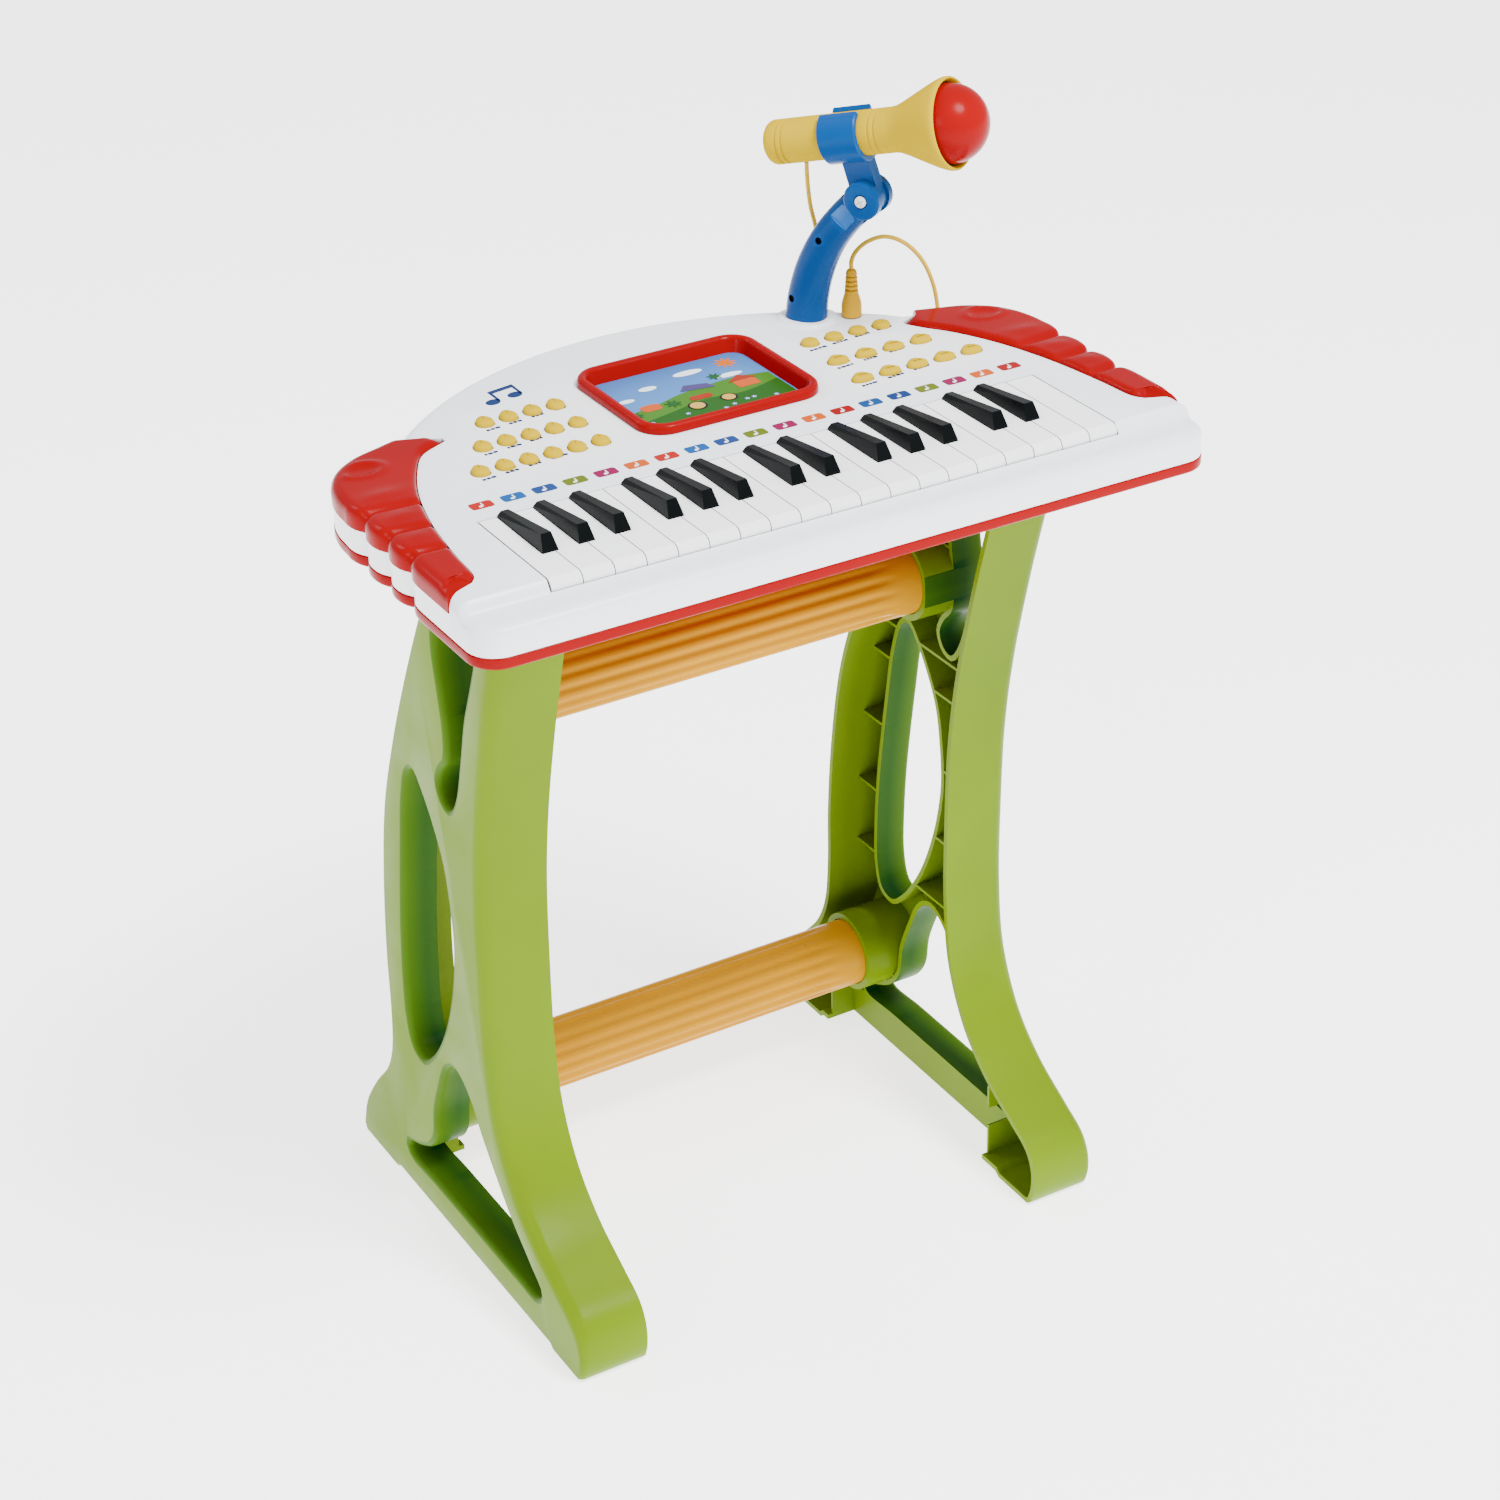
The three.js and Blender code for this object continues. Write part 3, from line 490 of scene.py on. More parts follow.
def toned(code):
    """The base colour that looks like a hex colour under the studio's strong light."""
    return tuple(min(0.9, v ** 1.15 / (1 - 0.72 * v ** 3) / 3.6) for v in srgb(code))


# The gap colours given to the white shell and the white keys are painted shade between parts.
WHITE = plastic("white_shell", srgb("f0f3fb"), 0.3, shade=0.02, grain=0.02, coat=0.05, gloss=0.3,
                painted_gap_shade=((0.3, 0.3, 0.34), 2.0))
KEY_WHITE = plastic("key_white", srgb("f9fafe"), 0.2, shade=0.015, grain=0.012, coat=0.1, gloss=0.3,
                    painted_gap_shade=((0.12, 0.06, 0.05), 2.4))
KEY_BLACK = plastic("key_black", (0.001, 0.0018, 0.002), 0.28, shade=0.3, grain=0.03, gloss=0.07)
RED = plastic("red_gloss", (0.25, 0.0003, 0.002), 0.2, shade=0.1, grain=0.02, gloss=0.05)
BALL = plastic("ball_red", (0.27, 0.0004, 0.002), 0.2, shade=0.12, grain=0.03, gloss=0.05)
YELLOW = plastic("yellow_satin", (0.52, 0.345, 0.0), 0.34, shade=0.05, grain=0.03, gloss=0.0)
AMBER = plastic("amber_satin", (0.56, 0.25, 0.0), 0.26, shade=0.1, grain=0.03, gloss=0.05)
GREEN = plastic("green_satin", (0.12, 0.2, 0.0), 0.34, shade=0.08, grain=0.04, gloss=0.05)
# Painted shade: the holes' walls and the pocket are darker copies of the frame's green, darker still the
# further in they lie.
GREEN_HOLE_SHADED = plastic("green_hole_painted_shade", toned("86b62a"), 0.36, shade=0.1, grain=0.04, gloss=0.03,
                     fade=(toned("2f7f3b"), "X", FRAME_HIGH.x - 3, FRAME_HIGH.x - 16))
GREEN_POCKET_SHADED = plastic("green_pocket_painted_shade", toned("4f9a36"), 0.4, shade=0.12, grain=0.04, gloss=0.03,
                     fade=(toned("1a6a38"), "X", FRAME_LOW.x + 1, FRAME_LOW.x + 12))
BLUE = plastic("blue_satin", (0.0, 0.05, 0.2), 0.27, shade=0.12, grain=0.03)
# Painted highlight: the flat facet is a paler, glossier blue.
BLUE_FACET_LIT = plastic("blue_facet_painted_highlight", (0.02, 0.12, 0.36), 0.25, shade=0.1, grain=0.03, gloss=0.3)
# Painted shade: the screw holes are lined in a darker blue.
BLUE_RECESS_SHADED = plastic("blue_recess_painted_shade", toned("062a55"), 0.5, shade=0.2, grain=0.05, edge_wear_and_sheen=0.0)
CORD = plastic("cord_yellow", (0.66, 0.42, 0.03), 0.42, shade=0.1, grain=0.06, gloss=0.05)
PLUG_LOOK = plastic("plug_amber", (0.56, 0.3, 0.01), 0.36, shade=0.12, grain=0.05, gloss=0.06)
BLACK = plastic("matt_black", (0.004, 0.005, 0.006), 0.55, shade=0.2, grain=0.08, edge_wear_and_sheen=0.02)
BOARD = plastic("board_green", toned("2f7f4c"), 0.5, shade=0.25, grain=0.1)
STEEL = plastic("screw_steel", srgb("6c7176"), 0.3, shade=0.2, grain=0.06, metal=1.0, gloss=0.5)


def ink(code):
    """A thin printed layer."""
    return plastic("ink_" + code, toned(code), 0.34, shade=0.08, grain=0.02, edge_wear_and_sheen=0.0)


# ---------- camera, floor and lights
CAMERA_AT = Vector((-880.05, -1567.28, 1344.65))
CAMERA_TURN = (29.912, 29.621, -1.425)  # degrees to the right, down and round the line of sight
FOCAL_PIXELS, IMAGE_PIXELS = 3311, 1500


def add_camera():
    yaw, pitch, roll = (math.radians(angle) for angle in CAMERA_TURN)
    flat = math.cos(pitch)
    ahead = Vector((math.sin(yaw) * flat, math.cos(yaw) * flat, -math.sin(pitch)))
    level_side = Vector((math.cos(yaw), -math.sin(yaw), 0))
    level_up = level_side.cross(ahead)
    right = math.cos(roll) * level_side + math.sin(roll) * level_up
    up = math.cos(roll) * level_up - math.sin(roll) * level_side
    turn = Matrix((right, up, -ahead)).transposed().to_4x4()
    data = bpy.data.cameras.new("camera")
    data.sensor_width = 36
    data.lens = FOCAL_PIXELS * data.sensor_width / IMAGE_PIXELS
    data.clip_end = 60
    camera = placed("camera", data)
    camera.matrix_world = Matrix.Translation(CAMERA_AT * MM) @ turn
    bpy.context.scene.camera = camera


def add_light(name, place, aim, size, power, tint=(1, 1, 1)):
    data = bpy.data.lights.new(name, "AREA")
    data.shape = "DISK"
    data.size = size
    data.energy = power
    data.color = tint
    light = placed(name, data)
    light.location = place
    light.rotation_euler = (Vector(aim) - Vector(place)).to_track_quat("-Z", "Y").to_euler()


def add_studio():
    world = bpy.data.worlds.new("studio")
    bpy.context.scene.world = world
    world.use_nodes = True
    sky = world.node_tree.nodes["Background"].inputs
    sky["Color"].default_value = (0.93, 0.96, 1, 1)
    sky["Strength"].default_value = 1.0
    reach = 10000
    floor = make("floor", [(-reach, -reach, 0), (reach, -reach, 0), (reach, reach, 0), (-reach, reach, 0)],
                 [(0, 1, 2, 3)])
    white = plastic("floor_white", (0.95, 0.95, 0.95), 0.7, shade=0.01, grain=0.02, edge_wear_and_sheen=0)
    glow = white.node_tree.nodes["Principled BSDF"].inputs
    glow["Emission Color"].default_value = (1, 1, 1, 1)
    glow["Emission Strength"].default_value = 2.4
    floor.data.materials.append(white)
    add_light("key", (0.5, -1.5, 3.0), (0, 0, 0.4), 1.1, 190)
    add_light("window", (-2.2, -0.9, 1.6), (0, 0, 0.45), 0.8, 16, (0.97, 0.98, 1))
    add_light("back", (-1.7, 2.2, 2.4), (0, 0, 0.5), 1.2, 24, (1, 0.99, 0.97))


add_camera()
add_studio()


# ---------- microphone cord and plug
def arm_point(s, across, z):
    return ARM_FOOT + FORWARD * s + ACROSS * across + UP * z


CORD_DIAMETER = 2.8


def add_cord():
    """Down behind the case from the microphone, up again beside the ear, and over into the plug."""
    points = [arm_point(*p) for p in (
        (1.5, 0, 658.2), (1.5, 0.3, 651), (1.3, 2, 641), (0.8, 6, 628), (0.4, 13, 613), (1, 19, 590),
        (1.4, 22.5, 565))]
    points += [Vector(p) for p in (
        (139.5, 99, 530), (141.5, 98.5, 500), (144.5, 97, 465), (149, 94, 432), (156, 90, 409),
        (166, 85, 397), (177, 80, 397), (187, 75, 409), (194, 71, 432), (198.5, 67.5, 465), (201, 65, 500),
        (202.3, 63, 530), (201.6, 62, 553), (197.5, 62.5, 572), (190, 64.5, 588), (179, 67.5, 599.5),
        (167, 70.5, 604.5), (155.5, 72.7, 602.5), (148, 73.8, 597))]
    points += [Vector((PLUG.x, PLUG.y, 591.5)), Vector((PLUG.x, PLUG.y, PLUG_TOP + 0.3))]
    line = spline(points, steps=8)
    cord = tube("microphone_cord", line, CORD_DIAMETER / 2)
    shaded(painted(cord, CORD), 50)
    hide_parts("mic_cord")
    ribs = []
    for k in range(5):
        z, crest, groove = 571.6 + 2.9 * k, 4.4 - 0.2 * k, 3.0 - 0.1 * k
        ribs += [(z, crest), (z + 1.6, 4.3 - 0.2 * k), (z + 1.8, groove), (z + 2.7, groove)]
    profile = [(545, 0), (545, 1.2), (546.2, 1.7), (556.3, 1.7), (556.3, 5.9), (556.8, 6.4), (564, 6.3),
               (566, 5.9), (570.2, 4.7), (571.2, 4.4)]
    profile += ribs[1:-2] + [(PLUG_TOP - 0.6, 3.0), (PLUG_TOP, 2.4), (PLUG_TOP, 0)]
    plug = lathe("microphone_plug", profile, Vector((PLUG.x, PLUG.y, 0)), UP, X_AXIS, 32)
    finished(plug, PLUG_LOOK, stands_for=["mic_plug"])
    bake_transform(cord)


add_cord()


# ---------- case
HOLLOWS = (-84, -55, -25)


def case_outline():
    side = arc(HALF_WIDTH - 18, FRONT + 18, 18, -90, 0, 10)
    for k in range(75):
        y = -150 + 1.9 * k
        dip = sum(4.8 * math.exp(-((abs(y - h) / 6.0) ** 1.3)) for h in HOLLOWS)
        side.append(Vector((HALF_WIDTH - dip, y)))
    side += spline([(238.5, -6), (237.3, 9), (233.5, 23), (225.5, 36), (211, 47), (193, 53.5), (174, 60)],
                   steps=6)
    half = math.degrees(math.asin(168 / ARC_RADIUS))
    back = arc(0, ARC_CENTRE, ARC_RADIUS, 90 - half, 90 + half, 56)
    return side + back + flipped(side)


CASE = case_outline()


def grip_lines(tip):
    """Outer and inner edge of the right-hand grip, from its front end to its tip."""
    outer = [Vector((HALF_WIDTH + 0.6, -138))]
    outer += [p for p in grown(CASE, 0.6) if p.x > 180 and -137 < p.y < 70]
    outer += spline([outer[-1], (tip + 11, 51.5), (tip, 46.8)], steps=8)[1:]
    inner = spline([(221, -130), (217, -124), (214, -97), (210, -67), (205, -42), (196, -12), (183, 16),
                    (172, 32), (tip, 42.5)], steps=10)
    return outer, inner


GRIP_LOOPS = []
for tip, mirror in ((GRIP_TIPS[1], False), (GRIP_TIPS[-1], True)):
    outer, inner = grip_lines(tip)
    loop = outer + inner[::-1]
    GRIP_LOOPS.append(flipped(loop) if mirror else loop)

BUTTON_ROWS = {  # y, first cap's x, pitch, count and kind of cap
    "left_buttons_back": (52, -122.3, 15.6, 4, "egg"),
    "left_buttons_middle": (22, -138.6, 15.5, 5, "egg"),
    "left_buttons_front": (-8, -155, 15.5, 6, "egg"),
    "right_buttons_back": (49, 99.3, 17.3, 4, "round"),
    "right_buttons_middle": (16.5, 98.9, 19.9, 4, "wedge"),
    "right_buttons_front": (-14.3, 96.9, 19.6, 5, "wedge"),
}


def cap_outline(kind, cx, cy, grow=0.0):
    width, depth = {"egg": (10.6, 12.8), "round": (11.5, 11), "wedge": (13.5, 11)}[kind]
    narrowing = {"egg": 0.16, "round": 0.0, "wedge": 0.3}[kind]
    rx, ry = width / 2 + grow, depth / 2 + grow
    return [Vector((cx + rx * (1 - narrowing * math.sin(a)) * math.cos(a), cy + ry * math.sin(a)))
            for a in turns(28)]


def front_slope(thing):
    """Lowers the deck in front of the keys' line to the front ledge, by a short soft slope."""
    bm = bmesh.new()
    bm.from_mesh(thing.data)
    for k in range(9):
        bmesh.ops.bisect_plane(bm, geom=bm.verts[:] + bm.edges[:] + bm.faces[:],
                               plane_co=(0, (FRONT_SLOPE - 7 * k / 8) * MM, 0), plane_no=(0, 1, 0))
    for v in bm.verts:
        drop = 7 * smooth((FRONT_SLOPE - v.co.y / MM) / 7)
        z = v.co.z / MM
        v.co.z = (z - drop * max(0, z - SPLIT) / (DECK - SPLIT)) * MM
    bm.to_mesh(thing.data)
    bm.free()
    return thing


def add_top_shell():
    shell = painted(front_slope(plate("top_case", CASE, SPLIT, DECK, top=8, steps=7)), WHITE)
    collar = [(DECK - 2, 0), (DECK - 2, 20.5), (DECK + 0.02, 20.5), (DECK + 0.3, 19), (DECK + 0.9, 18),
              (DECK + 1.5, 17.6), (DECK + 1.9, 16.9), (DECK + 2, 16), (DECK + 2, 0)]
    join(shell, lathe("collar", collar, ARM_FOOT, UP, X_AXIS, 48), WHITE)

    hollow = plate("hollow", grown(CASE, -SHELL_WALL), SPLIT - 5, DECK - SHELL_WALL)
    keep = [plate("keep", grown(loop, 3.3), 542.7, 580) for loop in GRIP_LOOPS]
    keep.append(box("keep_front", (-300, -300, LEDGE - SHELL_WALL), (300, -146, 600)))
    combine(hollow, keep)
    cut(shell, hollow, WHITE)
    cuts = [plate("grip_seat", grown(loop, 0.3), 545.7, 580) for loop in GRIP_LOOPS]
    cuts.append(box("keyhole", (KEY_LOW.x - 0.9, KEY_FRONT - 0.6, 520), (LAST_KEY.x + 0.9, -65, 600)))
    centre = (SCREEN_LOW + SCREEN_HIGH) / 2
    cuts.append(plate("window", rounded_rect(centre.x, centre.y, 112, 94, 13), 520, 600))
    for y, start, pitch, count, kind in BUTTON_ROWS.values():
        for i in range(count):
            cuts.append(plate("cap_hole", cap_outline(kind, start + pitch * i, y, 0.5), 540, 600))
    cuts.append(plate("peg_hole", arc(ARM_FOOT.x, ARM_FOOT.y, 10.4, 0, 350, 35), 540, 600))
    cuts.append(plate("jack_hole", arc(PLUG.x, PLUG.y, 5.3, 0, 345, 23), 540, 600))
    cut(shell, merged("cuts", cuts), WHITE)
    finished(shell, WHITE, stands_for=["top_shell"], angle=32)


def add_base_shell():
    tray = plate("base_case", grown(CASE, 0.5), BOTTOM, SPLIT - 0.3, top=0.8, foot=1.8, steps=3)
    painted(tray, RED)
    cut(tray, plate("tray", grown(CASE, -SHELL_WALL), BOTTOM + 2.5, 600), RED)
    cuts = []
    low, high = corners("battery_cover")
    cuts.append(box("battery_hole", (low.x - 0.3, low.y - 0.3, 500),
                    (high.x + 0.3, high.y + 0.3, BOTTOM + 4)))
    for k in range(5):
        cuts.append(plate("speaker_slot", rounded_rect(-100, 15.5 + 9 * k, 36, 3, 1.4, 4), 500, BOTTOM + 4))
    for side in (1, -1):
        middle_x = side * (FRAME_LOW.x + FRAME_HIGH.x) / 2
        for y0, y1 in TENONS:
            cuts.append(box("tenon_hole", (middle_x - 12, y0, 500), (middle_x + 12, y1, BOTTOM + 4)))
    cut(tray, merged("cuts", cuts), RED)
    join(tray, box("key_rail", (-186, -50, BOTTOM + 1), (186, -45.5, 546.7)), RED)
    finished(tray, RED, stands_for=["base_shell"], angle=32)


def add_grip(name, tip, mirror):
    """A soft-edged crescent with three finger creases, a thumb dimple and a hollowed front end."""
    count, across = 170, 20
    outer, inner = (resample(line, count) for line in grip_lines(tip))
    low = 546
    rings = []
    for i, (a, b) in enumerate(zip(outer, inner)):
        t = i / (count - 1)
        pull = 9 * smooth(1 - t / 0.06)  # the front end is scooped between its two corners
        width = (b - a).length
        r_out, r_in = min(7, width * 0.42), min(4.5, width * 0.36)
        fall = 5 * smooth((t - 0.93) / 0.07) ** 2 + 1.2 * smooth(1 - t / 0.05)

        def top_at(u, y):
            crease = sum(4.2 * math.exp(-(((y - h + 3 * u) / 3.0) ** 2)) for h in HOLLOWS) * (1 - 0.5 * u)
            lobe = sum(1.1 * math.exp(-(((y - h - 14) / 7) ** 2) - ((u - 0.55) / 0.3) ** 2)
                       for h in HOLLOWS)
            return GRIP_TOP - 1.3 - crease + lobe - fall

        def at(u, z):
            p = a.lerp(b, u) + Vector((0, pull * 4 * u * (1 - u)))
            return Vector((-p.x if mirror else p.x, p.y, z))

        ring = [at(0, low)]
        for inset, height in rounding(r_out, 6):
            u = inset / width
            top = top_at(u, a.lerp(b, u).y)
            ring.append(at(u, top - r_out + height))
        for k in range(1, across):
            u = (r_out + (width - r_out - r_in) * k / across) / width
            p = a.lerp(b, u)
            thumb = math.hypot((p.x - 213) / 12, (p.y - 26) / 9)
            lip, bowl = math.exp(-(((thumb - 1.05) / 0.3) ** 2)), math.exp(-((thumb / 0.75) ** 4))
            ring.append(at(u, top_at(u, p.y) + 0.9 * lip - 1.3 * bowl))
        for inset, height in reversed(rounding(r_in, 5)):
            u = 1 - inset / width
            top = top_at(u, a.lerp(b, u).y)
            ring.append(at(u, top - r_in + height))
        ring.append(at(1, low))
        rings.append(ring)
    grip = loft(name, rings)
    finished(grip, RED, stands_for=[name], angle=50)


def add_bezel():
    centre = (SCREEN_LOW + SCREEN_HIGH) / 2
    outline = rounded_rect(centre.x, centre.y, 122, 104, 18, 12)
    top = SCREEN_HIGH.z
    panel = PANEL_TOP
    section = [(0, DECK + 0.3), (0, top - 3.2), (0.4, top - 1.6), (1.4, top - 0.4), (2.8, top),
               (4.2, top - 0.1), (5.3, top - 0.8), (6.2, top - 2.2), (7.6, panel + 0.5), (7.8, panel + 0.15),
               (7.8, panel + 0.1), (6.0, panel + 0.1), (6.0, panel - 1.4), (9.0, panel - 1.4),
               (9.0, panel - 3.4), (5.4, panel - 3.4), (5.4, DECK + 0.3)]
    rings = [level(grown(outline, -inset), z) for inset, z in section]
    bezel = loft("screen_frame", rings, joined=True)
    finished(bezel, RED, stands_for=["screen_bezel"], angle=38)


# ---------- printed layers
def layer(name, loops, z, height, material):
    """Flat printed shapes, each a thin raised layer."""
    plates = [painted(plate(name, loop, z, z + height), material) for loop in loops]
    return finished(merged(name, plates), material, angle=40)


def ellipse(cx, cy, width, depth, turn=0.0, steps=24):
    cos, sin = math.cos(turn), math.sin(turn)
    out = []
    for a in turns(steps):
        x, y = width / 2 * math.cos(a), depth / 2 * math.sin(a)
        out.append(Vector((cx + x * cos - y * sin, cy + x * sin + y * cos)))
    return out


def flower(cx, cy, radius, petals=5):
    out = []
    for a in turns(petals * 8):
        r = radius * (0.72 + 0.28 * math.cos(petals * a))
        out.append(Vector((cx + r * math.cos(a), cy + r * math.sin(a))))
    return out


def add_picture():
    """A made-up meadow: sky, hills, clouds, sun, a house, trees, a tricycle and flowers."""
    low, high = corners("picture_panel")
    cx, cy = (low.x + high.x) / 2, (low.y + high.y) / 2
    sky = plastic("ink_sky", toned("8fd0f2"), 0.25, shade=0.05, grain=0.01, coat=0.1, edge_wear_and_sheen=0,
                  fade=(toned("1b66b0"), "Y", cy - 5, high.y - 4))
    outline = rounded_rect(cx, cy, high.x - low.x, high.y - low.y, 11.7)
    panel = plate("picture", outline, low.z, PANEL_TOP)
    finished(panel, sky, stands_for=["picture_panel"])
    left, right, base = low.x + 2.6, high.x - 2.6, low.y + 2.6
    first, second, third = PANEL_TOP + 0.08, PANEL_TOP + 0.16, PANEL_TOP + 0.24  # heights of stacked layers

    def hill(points, name, z, material):
        crest = resample(spline(points, steps=8), 40)
        loop = [Vector((right - 8, base)), Vector((right, base + 8))] + crest[::-1]
        loop += [Vector((left, base + 8)), Vector((left + 8, base))]
        layer(name, [loop], z, 0.06, material)

    hill([(left, cy - 6), (cx - 30, cy - 2), (cx - 8, cy + 5), (cx + 14, cy + 8), (cx + 34, cy + 9),
          (right, cy + 5)], "far_hills", PANEL_TOP + 0.01, ink("7cc242"))
    hill([(left, cy - 22), (cx - 26, cy - 16), (cx, cy - 10), (cx + 24, cy - 13), (right, cy - 6)],
         "near_hills", first, ink("459a2e"))
    clouds = [ellipse(cx - 22, cy + 22, 12, 6), ellipse(cx + 10, cy + 30, 20, 7),
              ellipse(cx + 30, cy + 14, 18, 6), ellipse(cx - 42, cy + 12, 11, 5)]
    layer("clouds", clouds, first, 0.05, ink("fbfdff"))
    layer("sun", [flower(cx + 37, cy + 31, 7.5, 9)], first, 0.06, ink("f5b72c"))
    house = [rounded_rect(cx + 33, cy - 2, 15, 10, 1.5, 3), rounded_rect(cx - 34, cy - 4, 13, 9, 3, 4)]
    layer("orange_house", house, second, 0.06, ink("f2973a"))
    roofs = [[Vector((cx + 23, cy + 3)), Vector((cx + 43, cy + 3)), Vector((cx + 33, cy + 11))],
             rounded_rect(cx - 1, cy - 6, 15, 6, 2.5, 4)]
    layer("red_roofs", roofs, third, 0.06, ink("df5a2b"))
    wheels = [ellipse(cx - 9, cy - 16, 12, 12), ellipse(cx + 13, cy - 15, 11, 11)]
    layer("wheels", wheels, second, 0.06, ink("2d2a2c"))
    discs = [ellipse(cx - 9, cy - 16, 9.4, 9.4), ellipse(cx + 13, cy - 15, 8.4, 8.4)]
    layer("wheel_discs", discs, third, 0.06, ink("f4e58b"))
    awning = [Vector((cx + dx, cy + dy)) for dx, dy in ((-8, 7), (14, 3), (12, 10), (-2, 14))]
    layer("violet_awning", [awning], third, 0.06, ink("8d7cc0"))
    trees = [flower(cx + 21, cy + 16, 5, 7), flower(cx - 20, cy - 6, 5.5, 7),
             flower(cx - 47, cy - 10, 4.5, 7)]
    layer("trees", trees, third, 0.06, ink("3f9a4b"))
    rng = random.Random(5)
    blooms = [flower(cx + rng.uniform(-44, 44), cy + rng.uniform(-36, -22), 1.7) for _ in range(14)]
    layer("flowers", blooms, second, 0.06, ink("e9ecff"))


def note_mark(cx, cy):
    """A small note: a tilted head and a stem."""
    return [ellipse(cx - 0.8, cy - 1.5, 3.0, 2.2, 0.35, 14),
            rounded_rect(cx + 0.6, cy + 0.6, 0.8, 4.4, 0.3, 2)]


def add_deck_prints():
    z = DECK + 0.01
    red, green, pink, orange = "e8362b", "a8b81e", "cf0f86", "f2961a"
    low_notes = [red, "0094dc", "3b77c8", green, pink, orange]
    high_notes = ["dd1216", "0084d0", "1a64bc", green, pink, orange]
    tags = 2 * low_notes + high_notes + high_notes[:1]
    for code in sorted(set(tags)):
        loops = [rounded_rect(TAG_START + TAG_PITCH * i, TAG_ROW, 14, 8.6, 2)
                 for i, c in enumerate(tags) if c == code]
        layer("note_tags_" + code, loops, z, 0.1, ink(code))
    marks = []
    for i in range(len(tags)):
        marks += note_mark(TAG_START + TAG_PITCH * i, TAG_ROW)
    layer("note_marks", marks, z + 0.12, 0.06, ink("fdfdff"))

    rng = random.Random(11)
    dashes = []
    for y, start, pitch, count, kind in BUTTON_ROWS.values():
        for i in range(count):
            x = start + pitch * i - 5.6 + (2 if kind == "egg" else 0)
            row_y = y - (9.6 if kind == "egg" else 8.8)
            for _ in range(3 if kind == "egg" else 4):
                width = rng.uniform(1.6, 3.4)
                dashes.append(rounded_rect(x + width / 2, row_y + 0.1 * (x - start), width, 2.4, 0.5, 2))
                x += width + 0.5
    layer("button_legends", dashes, z, 0.06, ink("123f93"))
    note = [ellipse(-104, 77, 10, 8, 0.3), ellipse(-88, 80, 10, 8, 0.3),
            rounded_rect(-99.7, 84, 2, 14, 0.8, 3), rounded_rect(-83.7, 87, 2, 14, 0.8, 3)]
    layer("emblem_notes", note, z, 0.06, ink("1c58a8"))
    beam = [Vector(p) for p in ((-100.7, 88), (-82.7, 91), (-82.7, 95), (-100.7, 92))]
    layer("emblem_beam", [beam], z + 0.08, 0.06, ink("1c58a9"))


# ---------- keys and buttons
def smooth_nodes():
    """Node group that shades a mesh smooth, for CAD pieces whose own mesh is left as it is."""
    group = bpy.data.node_groups.new("shade_smooth", "GeometryNodeTree")
    group.interface.new_socket("Geometry", in_out="INPUT", socket_type="NodeSocketGeometry")
    group.interface.new_socket("Geometry", in_out="OUTPUT", socket_type="NodeSocketGeometry")
    start, end = group.nodes.new("NodeGroupInput"), group.nodes.new("NodeGroupOutput")
    shade = group.nodes.new("GeometryNodeSetShadeSmooth")
    group.links.new(start.outputs[0], shade.inputs["Geometry"])
    group.links.new(shade.outputs[0], end.inputs[0])
    return group


SMOOTH = smooth_nodes()


def dressed(node, material, rim=0.0):
    """A shown CAD node with its material, and softened edges made by modifiers."""
    piece = frame["nodes"][node]
    piece.data.materials.clear()
    piece.data.materials.append(material)
    if rim:
        bevelled(piece, rim, 3, 25)
        piece.modifiers.new("smooth", "NODES").node_group = SMOOTH
        piece.modifiers.new("normals", "WEIGHTED_NORMAL").keep_sharp = True


def add_strip(name, row):
    """A row of button caps joined by the rail that runs under them."""
    y, start, pitch, count, kind = row
    low, high = corners(name)
    end = start + pitch * (count - 1)
    strip = painted(box("rail", (start - 2.5, y - 3.5, low.z), (end + 2.5, y + 3.5, low.z + 3)), YELLOW)
    section = [(0, low.z + 2), (0, high.z - 2.2), (0.25, high.z - 1.6), (0.8, high.z - 0.9),
               (1.7, high.z - 0.4), (2.9, high.z - 0.12), (4.0, high.z)]
    caps = []
    for i in range(count):
        outline = cap_outline(kind, start + pitch * i, y)
        rings = [level(grown(outline, -inset), z) for inset, z in section]
        caps.append(painted(loft("cap", rings), YELLOW))
    combine(strip, caps, "UNION")
    strip.name = name + "_caps"
    finished(strip, YELLOW, body=name, stands_for=[name], angle=55)


# ---------- stand
# Outlines of a side frame and of the three holes in it, as (y, z).
FRAME_FRONT = [(-97, 523.7), (-83, 474), (-68, 424), (-50, 352), (-42, 300), (-39, 240), (-39, 180),
               (-45, 136), (-63, 98), (-88, 73), (-116, 56), (-137, 43), (-144, 30), (-144.5, 14), (-141, 3)]
FRAME_FLOOR = [(-137, 0), (-104, 0), (-100, 3), (118, 3), (122, 0), (171, 0)]
FRAME_BACK = [(174.5, 6), (167, 28), (147, 56), (124, 82), (114, 104), (110, 135), (109, 180), (103, 240),
              (91, 300), (70, 355), (44, 410), (12, 470), (-19, 523.7)]
NOTCH = [(-8, 345), (-17, 356), (-28, 389), (-37, 420), (-48, 446), (-60, 478), (-64, 505), (-48, 511),
         (-30, 508), (-13, 492), (-4, 455), (-8, 424), (-11.4, 400), (-9, 378), (1, 366), (5, 356), (0, 347)]
SLOT = [(62, 124), (48, 135), (36, 150), (24, 170), (13, 196), (6, 220), (2, 246), (4, 275), (9, 300),
        (19, 320), (32, 338), (42, 347), (50, 342), (59, 318), (66, 281), (72, 246), (77, 212), (80, 176),
        (80, 145), (74, 127)]
